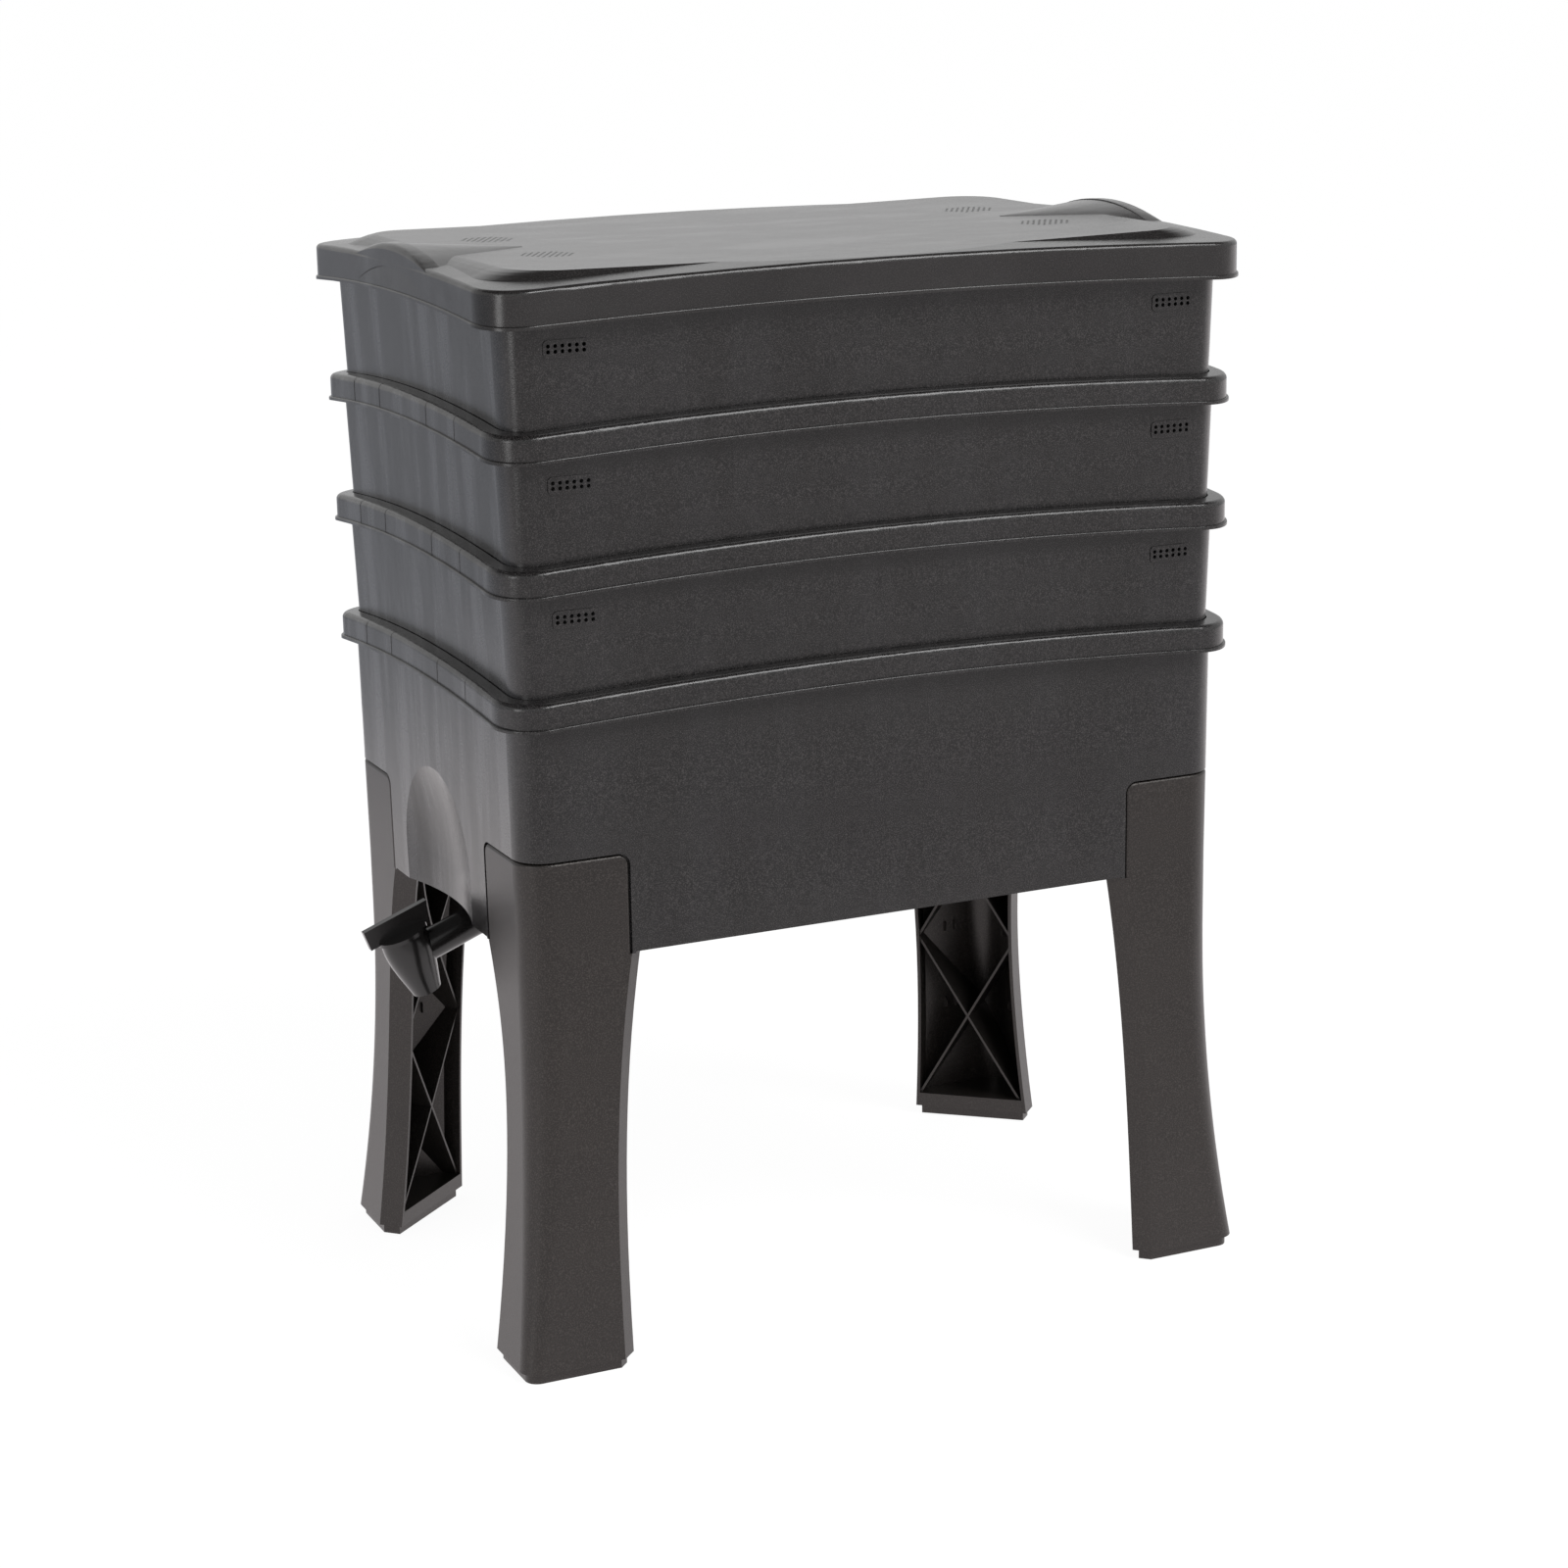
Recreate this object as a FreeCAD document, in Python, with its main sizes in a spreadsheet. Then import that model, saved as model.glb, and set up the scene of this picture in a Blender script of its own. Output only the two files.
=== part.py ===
import FreeCAD, Part
import math
import os
import Sketcher

# Wormery: lid, three nested working trays, collector tray on four corner legs, lever tap.
# Frame: origin on the floor under the middle of the whole box, tap included; X along the
# long side with the tap on the -X end, +Z up, millimetres. The pieces are drawn about the
# middle of the footprint and moved by MIDDLE when they are placed.

doc = FreeCAD.newDocument("Wormery")

SIZES = {
    # tray rims
    "rimHalfLength": 296.3,
    "rimHalfWidth": 200.6,
    "rimCornerRadius": 33.0,
    "rimHeight": 17.3,
    "rimSheet": 2.4,
    "shoulderRadius": 4.2,
    "lipReach": 1.8,
    "lipHeight": 2.6,
    "lipEdge": 1.1,
    "archLong": 9.6,
    "archShort": 10.2,
    # tray walls
    "wallHalfLength": 286.0,
    "wallHalfWidth": 190.5,
    "wallCornerRadius": 25.0,
    "wallDraft": 5.2,
    "wallSheet": 2.5,
    "trayDepth": 150.0,
    "trayPitch": 94.3,
    "floorSheet": 3.0,
    "collectorRimZ": 489.2,
    # corner posts that carry the next tray
    "postSize": 46.0,
    "postSheet": 2.6,
    # drain holes in the tray floor
    "drainRadius": 4.0,
    "drainPitchX": 32.0,
    "drainPitchY": 30.0,
    "drainCountX": 16,
    "drainCountY": 10,
    # air holes under the rim
    "airRadius": 1.4,
    "airPitchX": 5.3,
    "airPitchZ": 3.9,
    "airCountX": 6,
    "airCountZ": 2,
    "airCentreX": 240.0,
    "airDrop": 18.0,
    # collector
    "skirtBottomZ": 316.2,
    "skirtDraft": 1.8,
    "skirtSheet": 2.6,
    "upperCavityZ": 440.0,
    "floorHighZ": 346.0,
    "floorLowZ": 338.0,
    "sumpHalfWidth": 58.0,
    "sumpBottomZ": 284.0,
    "sumpSheet": 2.6,
    "sumpBackFoot": -150.0,
    "sumpBackTop": -120.0,
    "nicheHalfWidth": 73.0,
    "nicheDepth": 11.5,
    "nicheCentreZ": 345.0,
    "nicheBacking": 2.4,
    # leg seats in the skirt corners
    "seatHalfX": 204.0,
    "seatHalfY": 106.0,
    "seatTopZ": 390.8,
    "seatCornerRadius": 9.0,
    "seatDepth": 3.6,
    "seatGap": 1.1,
    # legs
    "legShelfZ": 315.0,
    "legShelfSheet": 3.0,
    "legPanel": 2.9,
    "legPanelEdge": 2.4,
    "legSheet": 2.8,
    "footBandZ": 8.0,
    "footBandHeight": 12.0,
    "footInset": 4.0,
    "footHalfX": 302.0,
    "footHalfY": 200.0,
    "legFlareTopZ": 270.0,
    "legWideTop": 204.5,
    "legWideFoot": 224.0,
    "legWideCurve": 2.6,
    "legNarrowTop": 107.0,
    "legNarrowFoot": 138.0,
    "legNarrowCurve": 4.5,
    "bevelWide": 11.0,
    "bevelNarrow": 14.0,
    "legCornerFoot": 14.0,
    "legRibSheet": 2.0,
    "legRibSetBack": 3.0,
    "legRibPitch": 143.8,
    "legRibWidth": 84.6,
    "legRibLowZ": 23.4,
    "legRibCentreX": 244.0,
    "legRibCentreY": 152.4,
    # lid
    "lidHalfLength": 300.6,
    "lidHalfWidth": 205.3,
    "lidCornerRadius": 33.0,
    "lidRimZ": 771.4,
    "lidBand": 24.2,
    "lidSheet": 2.1,
    "lidLipReach": 1.4,
    "lidLipHeight": 2.8,
    "lidArchLong": 7.2,
    "lidArchShort": 8.5,
    "deckArchShort": 6.0,
    "lidEdgeRadius": 3.4,
    "panelHalfLength": 269.0,
    "panelHalfWidth": 170.0,
    "panelCornerRadius": 36.0,
    "panelSlopeEnd": 27.0,
    "panelSlopeSide": 9.5,
    "panelFoot": 24.0,
    "panelTop": 34.6,
    "panelCrestEnd": 8.0,
    "panelCrestSide": 0.6,
    "panelDishLow": 31.7,
    "panelDishRise": 2.4,
    "gripHalfWidth": 79.0,
    "gripTop": 41.0,
    "gripFoot": 27.6,
    "gripRoll": 13.0,
    "gripRollRadius": 4.5,
    "gripRidgeDrop": 0.6,
    "gripTipX": 199.0,
    "gripTipHalfWidth": 5.0,
    "gripTipRise": 0.4,
    "gripTipDepth": 1.5,
    "recessHalfWidth": 76.0,
    "recessFoot": 8.9,
    "recessTop": 24.5,
    "recessDepth": 1.6,
    "recessBacking": 1.9,
    "backingFoot": 12.0,
    "backingTop": 27.0,
    "restGap": 0.25,
    "restX": 100.0,
    "restLength": 40.0,
    "restInnerY": 184.0,
    "restOuterY": 196.0,
    "ventRadius": 1.1,
    "ventPitch": 4.9,
    "ventCentreX": 203.0,
    "ventCentreY": 63.0,
    # tap
    "tapX": -309.2,
    "tapZ": 277.8,
    "tapTilt": 21.0,
    "barrelRadius": 12.0,
    "barrelBore": 7.0,
    "threadRadius": 10.5,
    "holeClearance": 0.3,
    "wallReach": 67.7,
    "flangeRadius": 17.0,
    "flangeThick": 4.0,
    "washerThick": 2.0,
    "washerRadius": 16.5,
    "nutRadius": 17.0,
    "nutThick": 8.0,
    "threadSpare": 3.7,
    "chamberTop": 17.5,
    "chamberTopRadius": 17.4,
    "chamberMidRadius": 18.2,
    "chamberMidZ": 4.0,
    "chamberLowRadius": 15.0,
    "chamberLowZ": -10.0,
    "spoutRadius": 11.0,
    "spoutLength": 31.5,
    "spoutBore": 8.0,
    "plugTopRadius": 11.0,
    "plugFootRadius": 9.0,
    "plugDepth": 16.0,
    "plugClearance": 0.05,
    "plugFootGap": 0.4,
    "plugBore": 6.0,
    "discRadius": 20.0,
    "discThick": 3.0,
    "leverHalfLength": 27.0,
    "leverThick": 6.0,
    "leverHeight": 14.0,
    "leverSlant": 5.0,
    # reach of helper shapes past the part
    "cutOver": 60.0,
    "domeDepth": 300.0,
}

VENT_RINGS = 4
HEX_SIDES = 6
FULL_TURN = 360.0
QUARTER = math.pi / 2.0
ROOT_TWO = "sqrt(2)"

sheet = doc.addObject("Spreadsheet::Sheet", "Sizes")
for rowNumber, (alias, size) in enumerate(SIZES.items(), start=1):
    cell = "A" + str(rowNumber)
    sheet.set(cell, str(size))
    sheet.setAlias(cell, alias)
doc.recompute()


def size(alias):
    """Value of one named size."""
    return float(sheet.get(alias))


def value_of(expression):
    """Number behind a sheet expression such as Sizes.a + Sizes.b."""
    return float(sheet.evalExpression(expression.replace("Sizes.", "")))


def origin_part(body, role):
    """One of the body's own origin planes or axes."""
    for feature in body.Origin.OriginFeatures:
        if feature.Role == role:
            return feature
    raise ValueError(role)


def new_body(label):
    body = doc.addObject("PartDesign::Body", label)
    body.Label = label
    return body


def new_sketch(body, name, role, expression="0"):
    """Sketch on an origin plane, moved along the plane's normal."""
    sketch = body.newObject("Sketcher::SketchObject", name)
    sketch.AttachmentSupport = [(origin_part(body, role), "")]
    sketch.MapMode = "FlatFace"
    offset = value_of(expression)
    sketch.AttachmentOffset = FreeCAD.Placement(
        FreeCAD.Vector(0.0, 0.0, offset), FreeCAD.Rotation())
    sketch.setExpression("AttachmentOffset.Base.z", expression)
    sketch.Visibility = False
    return sketch


def point(x, y):
    return FreeCAD.Vector(x, y, 0.0)


def arc_of(centre_x, centre_y, radius, start, end):
    circle = Part.Circle(point(centre_x, centre_y), FreeCAD.Vector(0.0, 0.0, 1.0), radius)
    return Part.ArcOfCircle(circle, start, end)


def bind(sketch, title, constraint, expression):
    """Named constraint that follows the sheet."""
    number = sketch.addConstraint(constraint)
    sketch.renameConstraint(number, title)
    sketch.setExpression("Constraints." + title, expression)


def bind_point(sketch, title, line, end, corner):
    """Both distances of a point from the origin."""
    for axis, kind, expression in zip("XY", ("DistanceX", "DistanceY"), corner):
        value = value_of(expression)
        bind(sketch, title + axis, Sketcher.Constraint(kind, -1, 1, line, end, value), expression)


def rounded_rectangle(sketch, names):
    """Centred rounded rectangle, its three sizes bound to the sheet."""
    name_x, name_y, name_r = names
    half_x, half_y, radius = [value_of(name) for name in names]
    x = half_x - radius
    y = half_y - radius
    sketch.addGeometry(Part.LineSegment(point(-x, -half_y), point(x, -half_y)))
    sketch.addGeometry(arc_of(x, -y, radius, -QUARTER, 0.0))
    sketch.addGeometry(Part.LineSegment(point(half_x, -y), point(half_x, y)))
    sketch.addGeometry(arc_of(x, y, radius, 0.0, QUARTER))
    sketch.addGeometry(Part.LineSegment(point(x, half_y), point(-x, half_y)))
    sketch.addGeometry(arc_of(-x, y, radius, QUARTER, 2.0 * QUARTER))
    sketch.addGeometry(Part.LineSegment(point(-half_x, y), point(-half_x, -y)))
    sketch.addGeometry(arc_of(-x, -y, radius, 2.0 * QUARTER, 3.0 * QUARTER))
    count = 8
    for index in range(count):
        following = (index + 1) % count
        sketch.addConstraint(Sketcher.Constraint("Tangent", index, 2, following, 1))
    sketch.addConstraint(Sketcher.Constraint("Horizontal", 0))
    sketch.addConstraint(Sketcher.Constraint("Horizontal", 4))
    sketch.addConstraint(Sketcher.Constraint("Vertical", 2))
    sketch.addConstraint(Sketcher.Constraint("Vertical", 6))
    for arc_index in (3, 5, 7):
        sketch.addConstraint(Sketcher.Constraint("Equal", 1, arc_index))
    rows = (("halfX", "DistanceX", (-1, 1, 2, 1), half_x, name_x),
            ("halfY", "DistanceY", (-1, 1, 4, 1), half_y, name_y),
            ("halfXBack", "DistanceX", (6, 1, -1, 1), half_x, name_x),
            ("halfYBack", "DistanceY", (0, 1, -1, 1), half_y, name_y))
    for title, kind, ends, value, expression in rows:
        bind(sketch, title, Sketcher.Constraint(kind, *ends, value), expression)
    bind(sketch, "corner", Sketcher.Constraint("Radius", 1, radius), name_r)


def polygon(sketch, corners):
    """Closed outline whose corners are all bound to the sheet."""
    values = [[value_of(part) for part in corner] for corner in corners]
    count = len(corners)
    for index in range(count):
        following = (index + 1) % count
        sketch.addGeometry(Part.LineSegment(point(*values[index]), point(*values[following])))
    for index in range(count):
        following = (index + 1) % count
        sketch.addConstraint(Sketcher.Constraint("Coincident", index, 2, following, 1))
    for index, corner in enumerate(corners):
        bind_point(sketch, "corner" + str(index), index, 1, corner)


def crown(sketch, half_width, foot, top):
    """Flat segment of a circle: a straight foot and an arched top."""
    half = value_of(half_width)
    low = value_of(foot)
    rise = value_of(top) - low
    radius = (half ** 2 + rise ** 2) / (2.0 * rise)
    centre = low + rise - radius
    start = math.atan2(low - centre, half)
    sketch.addGeometry(arc_of(0.0, centre, radius, start, math.pi - start))
    sketch.addGeometry(Part.LineSegment(point(-half, low), point(half, low)))
    sketch.addConstraint(Sketcher.Constraint("Coincident", 0, 2, 1, 1))
    sketch.addConstraint(Sketcher.Constraint("Coincident", 1, 2, 0, 1))
    bind_point(sketch, "left", 1, 1, ("-(" + half_width + ")", foot))
    bind_point(sketch, "right", 1, 2, (half_width, foot))
    rule = "((" + half_width + ") ^ 2 + (" + span(foot, top) + ") ^ 2) / (2 * (" + span(foot, top) + "))"
    bind(sketch, "arch", Sketcher.Constraint("Radius", 0, radius), rule)


def span(low, high):
    """Expression for the distance between two levels."""
    return "(" + high + ") - (" + low + ")"


def grown(names, change="0"):
    """Expressions of named sizes, all grown by the same change."""
    return tuple("Sizes." + name + " + (" + change + ")" for name in names)


def pad(body, sketch, length, midplane=False):
    feature = body.newObject("PartDesign::Pad", sketch.Name + "Pad")
    feature.Profile = sketch
    feature.Length = value_of(length)
    feature.setExpression("Length", length)
    feature.Midplane = midplane
    return feature


def prism(label, names, low, high):
    """Straight rounded block between two heights."""
    body = new_body(label)
    sketch = new_sketch(body, label + "Plan", "XY_Plane", low)
    rounded_rectangle(sketch, names)
    pad(body, sketch, span(low, high))
    return body


def drafted(label, low_names, low, high_names, high):
    """Rounded block whose walls lean from one plan to the other."""
    body = new_body(label)
    sections = []
    for tag, names, level in (("Foot", low_names, low), ("Head", high_names, high)):
        sketch = new_sketch(body, label + tag, "XY_Plane", level)
        rounded_rectangle(sketch, names)
        sections.append(sketch)
    loft(body, label, sections, ruled=True)
    return body


def loft(body, label, sections, ruled=False):
    feature = body.newObject("PartDesign::AdditiveLoft", label + "Loft")
    feature.Profile = sections[0]
    feature.Sections = sections[1:]
    feature.Ruled = ruled
    return feature


def side_profile(label, corners, half_width):
    """Outline in the XZ plane, thickened evenly to both sides."""
    body = new_body(label)
    sketch = new_sketch(body, label + "Side", "XZ_Plane")
    polygon(sketch, corners)
    pad(body, sketch, "2 * (" + half_width + ")", midplane=True)
    return body


def dome(label, top, arch_x, arch_y, half_x, half_y):
    """Block with a shallow double arch on top; the top is the height at its corners."""
    body = new_body(label)
    radius_x = "((Sizes." + half_x + ") ^ 2 / (2 * Sizes." + arch_x + "))"
    radius_y = "((Sizes." + half_y + ") ^ 2 / (2 * Sizes." + arch_y + "))"
    reach_x = "(Sizes." + half_x + " + Sizes.cutOver)"
    reach_y = "(Sizes." + half_y + " + Sizes.cutOver)"
    foot = radius_x + " - Sizes.domeDepth"
    side = radius_x + " - " + radius_y + " + sqrt(" + radius_y + " ^ 2 - " + reach_y + " ^ 2)"
    sketch = new_sketch(body, label + "Arch", "YZ_Plane")
    half = value_of(reach_y)
    low = value_of(foot)
    high = value_of(side)
    radius = value_of(radius_y)
    centre = value_of(radius_x) - radius
    start = math.atan2(high - centre, half)
    sketch.addGeometry(Part.LineSegment(point(-half, low), point(half, low)))
    sketch.addGeometry(Part.LineSegment(point(half, low), point(half, high)))
    sketch.addGeometry(arc_of(0.0, centre, radius, start, math.pi - start))
    sketch.addGeometry(Part.LineSegment(point(-half, high), point(-half, low)))
    for index in range(4):
        following = (index + 1) % 4
        sketch.addConstraint(Sketcher.Constraint("Coincident", index, 2, following, 1))
    bind_point(sketch, "lowLeft", 0, 1, ("-" + reach_y, foot))
    bind_point(sketch, "lowRight", 0, 2, (reach_y, foot))
    bind_point(sketch, "highRight", 2, 1, (reach_y, side))
    bind_point(sketch, "highLeft", 2, 2, ("-" + reach_y, side))
    bind(sketch, "crown", Sketcher.Constraint("Radius", 2, radius), radius_y)
    turn = body.newObject("PartDesign::Revolution", label + "Turn")
    turn.Profile = sketch
    turn.ReferenceAxis = (origin_part(body, "Y_Axis"), [""])
    angle = "2 * asin(" + reach_x + " / (" + foot + "))"
    turn.Angle = value_of(angle)
    turn.setExpression("Angle", angle)
    turn.Midplane = True
    height = top + " + Sizes." + arch_x + " + Sizes." + arch_y + " - " + radius_x
    body.setExpression("Placement.Base.z", height)
    return body


def combine(kind, label, *parts):
    """Cut, common or fuse of earlier features."""
    if kind == "fuse":
        feature = doc.addObject("Part::MultiFuse", label)
        feature.Shapes = list(parts)
    elif kind == "common":
        feature = doc.addObject("Part::Common", label)
        feature.Base, feature.Tool = parts
    else:
        feature = doc.addObject("Part::Cut", label)
        feature.Base, feature.Tool = parts
    return feature


def edge_fillet(label, base, radius, chosen):
    """Fillet of the edges that pass the test."""
    doc.recompute()
    feature = doc.addObject("Part::Fillet", label)
    feature.Base = base
    rows = []
    for number, edge in enumerate(base.Shape.Edges, start=1):
        if chosen(edge):
            rows.append((number, radius, radius))
    feature.Edges = rows
    return feature


def block(label, low, high):
    """Box between two corners given as sheet expressions."""
    box = doc.addObject("Part::Box", label)
    for side, axis, start, end in zip(("Length", "Width", "Height"), "xyz", low, high):
        box.setExpression(side, span(start, end))
        box.setExpression("Placement.Base." + axis, start)
    return box


def mirrored(label, source, axis):
    """Mirror image across the plane through the origin that the axis is normal to."""
    feature = doc.addObject("Part::Mirroring", label)
    feature.Source = source
    feature.Base = FreeCAD.Vector(0.0, 0.0, 0.0)
    feature.Normal = axis
    return feature


AXIS_X = FreeCAD.Vector(1.0, 0.0, 0.0)
AXIS_Y = FreeCAD.Vector(0.0, 1.0, 0.0)


def both_ends(label, source):
    return combine("fuse", label, source, mirrored(label + "Back", source, AXIS_X))


def four_corners(label, source):
    ends = both_ends(label + "Ends", source)
    return combine("fuse", label, ends, mirrored(label + "Front", ends, AXIS_Y))


RIM = ("rimHalfLength", "rimHalfWidth", "rimCornerRadius")
WALL = ("wallHalfLength", "wallHalfWidth", "wallCornerRadius")


def rim_ring(tag, base_z):
    """Hollow turned-down rim with lip; its arch rises to the middle of every side."""
    arch = ("archLong", "archShort", "rimHalfLength", "rimHalfWidth")
    low = base_z + " - Sizes.cutOver"
    high = base_z + " + Sizes.cutOver + Sizes.cutOver"
    band = prism(tag + "Band", grown(RIM), low, high)
    lip = prism(tag + "Lip", grown(RIM, "Sizes.lipReach"), low, high)
    inside = prism(tag + "Inside", grown(RIM, "-Sizes.rimSheet"), low, high)
    top = dome(tag + "TopDome", base_z + " + Sizes.rimHeight", *arch)
    crease = dome(tag + "CreaseDome", base_z, *arch)
    under = dome(tag + "UnderDome", base_z + " - Sizes.lipHeight", *arch)
    ceiling = dome(tag + "CeilingDome", base_z + " + Sizes.rimHeight - Sizes.rimSheet", *arch)
    capped = combine("common", tag + "Capped", band, top)
    level = value_of(base_z)
    shoulder = edge_fillet(
        tag + "Shoulder", capped, size("shoulderRadius"),
        lambda edge: edge.BoundBox.ZMin > level + size("rimHeight") - 1.0)
    lip_low = combine("common", tag + "LipLow", lip, crease)
    lip_round = edge_fillet(
        tag + "LipRound", lip_low, size("lipEdge"), lambda edge: edge.BoundBox.ZMin > level - 1.0)
    whole = combine("fuse", tag + "RimWhole", shoulder, lip_round)
    trimmed = combine("cut", tag + "RimTrim", whole, under)
    hollow = combine("common", tag + "Hollow", inside, ceiling)
    return combine("cut", tag + "Rim", trimmed, hollow), top


def tray_walls(tag, base_z, change, low):
    """Leaning wall block of a tray, grown or shrunk by the change."""
    foot = "-Sizes.wallDraft * (" + span(low, base_z) + ") / Sizes.trayDepth"
    head = "Sizes.wallDraft * Sizes.cutOver / Sizes.trayDepth"
    return drafted(
        tag,
        grown(WALL, foot + " + (" + change + ")"), low,
        grown(WALL, head + " + (" + change + ")"), base_z + " + Sizes.cutOver")


def corner_posts(tag, low, ledge, lean, shell):
    """Hollow corner posts whose tops carry the floor of the tray above."""
    post = block(
        tag + "Post",
        ("Sizes.wallHalfLength - Sizes.postSize", "Sizes.wallHalfWidth - Sizes.postSize", low),
        ("Sizes.wallHalfLength", "Sizes.wallHalfWidth", ledge))
    posts = combine("common", tag + "Posts", four_corners(tag + "PostSet", post), shell)
    hollow = block(
        tag + "PostHollow",
        ("Sizes.wallHalfLength - Sizes.postSize + Sizes.postSheet",
         "Sizes.wallHalfWidth - Sizes.postSize + Sizes.postSheet",
         low + " - Sizes.postSheet"),
        ("Sizes.wallHalfLength - (" + lean + ")",
         "Sizes.wallHalfWidth - (" + lean + ")",
         ledge + " - Sizes.postSheet"))
    return posts, four_corners(tag + "PostHollows", hollow)


def pattern_pocket(body, name, sketch, length, steps, midplane=False):
    """Pocket repeated along rows or mirrored."""
    pocket = body.newObject("PartDesign::Pocket", name)
    pocket.Profile = sketch
    pocket.Length = value_of(length)
    pocket.setExpression("Length", length)
    pocket.Midplane = midplane
    body.Tip = pocket
    doc.recompute()
    multi = body.newObject("PartDesign::MultiTransform", name + "Field")
    multi.Originals = [pocket]
    features = []
    for number, (role, reach, count) in enumerate(steps):
        if count is None:
            step = body.newObject("PartDesign::Mirrored", name + "Mirror" + str(number))
            step.MirrorPlane = (origin_part(body, role), [""])
        else:
            step = body.newObject("PartDesign::LinearPattern", name + "Row" + str(number))
            step.Direction = (origin_part(body, role), [""])
            step.Length = value_of(reach)
            step.setExpression("Length", reach)
            step.Occurrences = int(value_of(count))
            step.setExpression("Occurrences", count)
        features.append(step)
    multi.Transformations = features
    body.Tip = multi
    return multi


def circle_sketch(body, name, role, expression, centre, radius):
    """One bound circle."""
    sketch = new_sketch(body, name, role, expression)
    x, y = [value_of(part) for part in centre]
    value = value_of(radius)
    sketch.addGeometry(Part.Circle(point(x, y), FreeCAD.Vector(0.0, 0.0, 1.0), value))
    bind_point(sketch, "centre", 0, 3, centre)
    bind(sketch, "hole", Sketcher.Constraint("Radius", 0, value), radius)
    return sketch


def perforate_floor(body):
    """Rows of drain holes in the tray floor, kept clear of the corner posts."""
    reach_x = "Sizes.drainPitchX * (Sizes.drainCountX - 1)"
    reach_y = "Sizes.drainPitchY * (Sizes.drainCountY - 1)"
    drain = circle_sketch(
        body, "Drain", "XY_Plane", "-Sizes.trayDepth + 2 * Sizes.floorSheet",
        ("-" + reach_x + " / 2", "-" + reach_y + " / 2"), "Sizes.drainRadius")
    pattern_pocket(
        body, "DrainHole", drain, "3 * Sizes.floorSheet",
        (("X_Axis", reach_x, "Sizes.drainCountX"), ("Y_Axis", reach_y, "Sizes.drainCountY")))


def perforate_sides(body):
    """Two short rows of air holes near both ends of each long side."""
    reach_x = "Sizes.airPitchX * (Sizes.airCountX - 1)"
    reach_z = "Sizes.airPitchZ * (Sizes.airCountZ - 1)"
    air = circle_sketch(
        body, "Air", "XZ_Plane", "0",
        ("Sizes.airCentreX - " + reach_x + " / 2", "-Sizes.airDrop - " + reach_z + " / 2"),
        "Sizes.airRadius")
    pattern_pocket(
        body, "AirHole", air, "3 * Sizes.rimHalfWidth",
        (("X_Axis", reach_x, "Sizes.airCountX"), ("Z_Axis", reach_z, "Sizes.airCountZ"),
         ("YZ_Plane", None, None)), midplane=True)


def tray_master():
    """Tray shell without its holes, origin at the crease of its rim corners."""
    low = "-Sizes.trayDepth"
    ledge = "-Sizes.trayDepth + Sizes.trayPitch"
    lean = "Sizes.wallDraft + Sizes.wallSheet + 2 * Sizes.postSheet"
    rim, top = rim_ring("Tray", "0")
    outer = tray_walls("TrayOuter", "0", "0", low)
    outer_capped = combine("common", "TrayOuterCapped", outer, top)
    inner = tray_walls("TrayInner", "0", "-Sizes.wallSheet", low + " + Sizes.floorSheet")
    posts, hollows = corner_posts("Tray", low, ledge, lean, outer)
    solid = combine("fuse", "TraySolid", rim, outer_capped)
    opened = combine("cut", "TrayOpen", solid, inner)
    posted = combine("fuse", "TrayPosted", opened, posts)
    return combine("cut", "TrayShell", posted, hollows)


MIDDLE = ("((Sizes.leverHalfLength * cos(Sizes.tapTilt)"
          " + (Sizes.chamberTop + Sizes.discThick + Sizes.leverHeight) * sin(Sizes.tapTilt)"
          " - Sizes.tapX - Sizes.footHalfX) / 2)")


def placed_body(label, base, level="0"):
    """Named body that takes over a finished shape at its own place."""
    body = new_body(label)
    body.BaseFeature = base
    body.Placement = FreeCAD.Placement(
        FreeCAD.Vector(value_of(MIDDLE), 0.0, value_of(level)), FreeCAD.Rotation())
    body.setExpression("Placement.Base.x", MIDDLE)
    body.setExpression("Placement.Base.z", level)
    return body


def make_trays():
    source = tray_master()
    made = []
    names = ("working_tray_bottom", "working_tray_middle", "working_tray_top")
    for step, label in enumerate(names, start=1):
        body = placed_body(label, source, "Sizes.collectorRimZ + " + str(step) + " * Sizes.trayPitch")
        if not made:
            perforate_floor(body)
            perforate_sides(body)
            doc.recompute()
            source = body
        made.append(body)
    return made


def skirt_lean(level, change):
    """Change of the collector's outer plan at a level."""
    drop = span(level, "Sizes.collectorRimZ")
    depth = span("Sizes.legShelfZ", "Sizes.collectorRimZ")
    return "-Sizes.skirtDraft * (" + drop + ") / (" + depth + ") + (" + change + ")"


def skirt_block(tag, change, high="Sizes.collectorRimZ + Sizes.cutOver"):
    """Leaning outer block of the collector, from the legs' shelves upwards."""
    low = "Sizes.legShelfZ"
    return drafted(
        tag, grown(WALL, skirt_lean(low, change)), low, grown(WALL, skirt_lean(high, change)), high)


def seat_zone(tag, gap):
    """Corner region of a leg seat, rounded at its upper corners."""
    far = "Sizes.wallHalfLength + Sizes.cutOver"
    zone = block(
        tag,
        ("Sizes.seatHalfX + (" + gap + ")", "Sizes.seatHalfY + (" + gap + ")", "Sizes.legShelfZ"),
        (far, far, "Sizes.seatTopZ - (" + gap + ")"))
    radius = value_of("Sizes.seatCornerRadius - (" + gap + ")")
    top = value_of("Sizes.seatTopZ - (" + gap + ")")
    x = value_of("Sizes.seatHalfX + (" + gap + ")")
    y = value_of("Sizes.seatHalfY + (" + gap + ")")

    def upper_inner(edge):
        box = edge.BoundBox
        level = box.ZMin > top - 1.0
        return level and (box.XMax < x + 1.0 or box.YMax < y + 1.0)

    return edge_fillet(tag + "Rounded", zone, radius, upper_inner)


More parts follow.
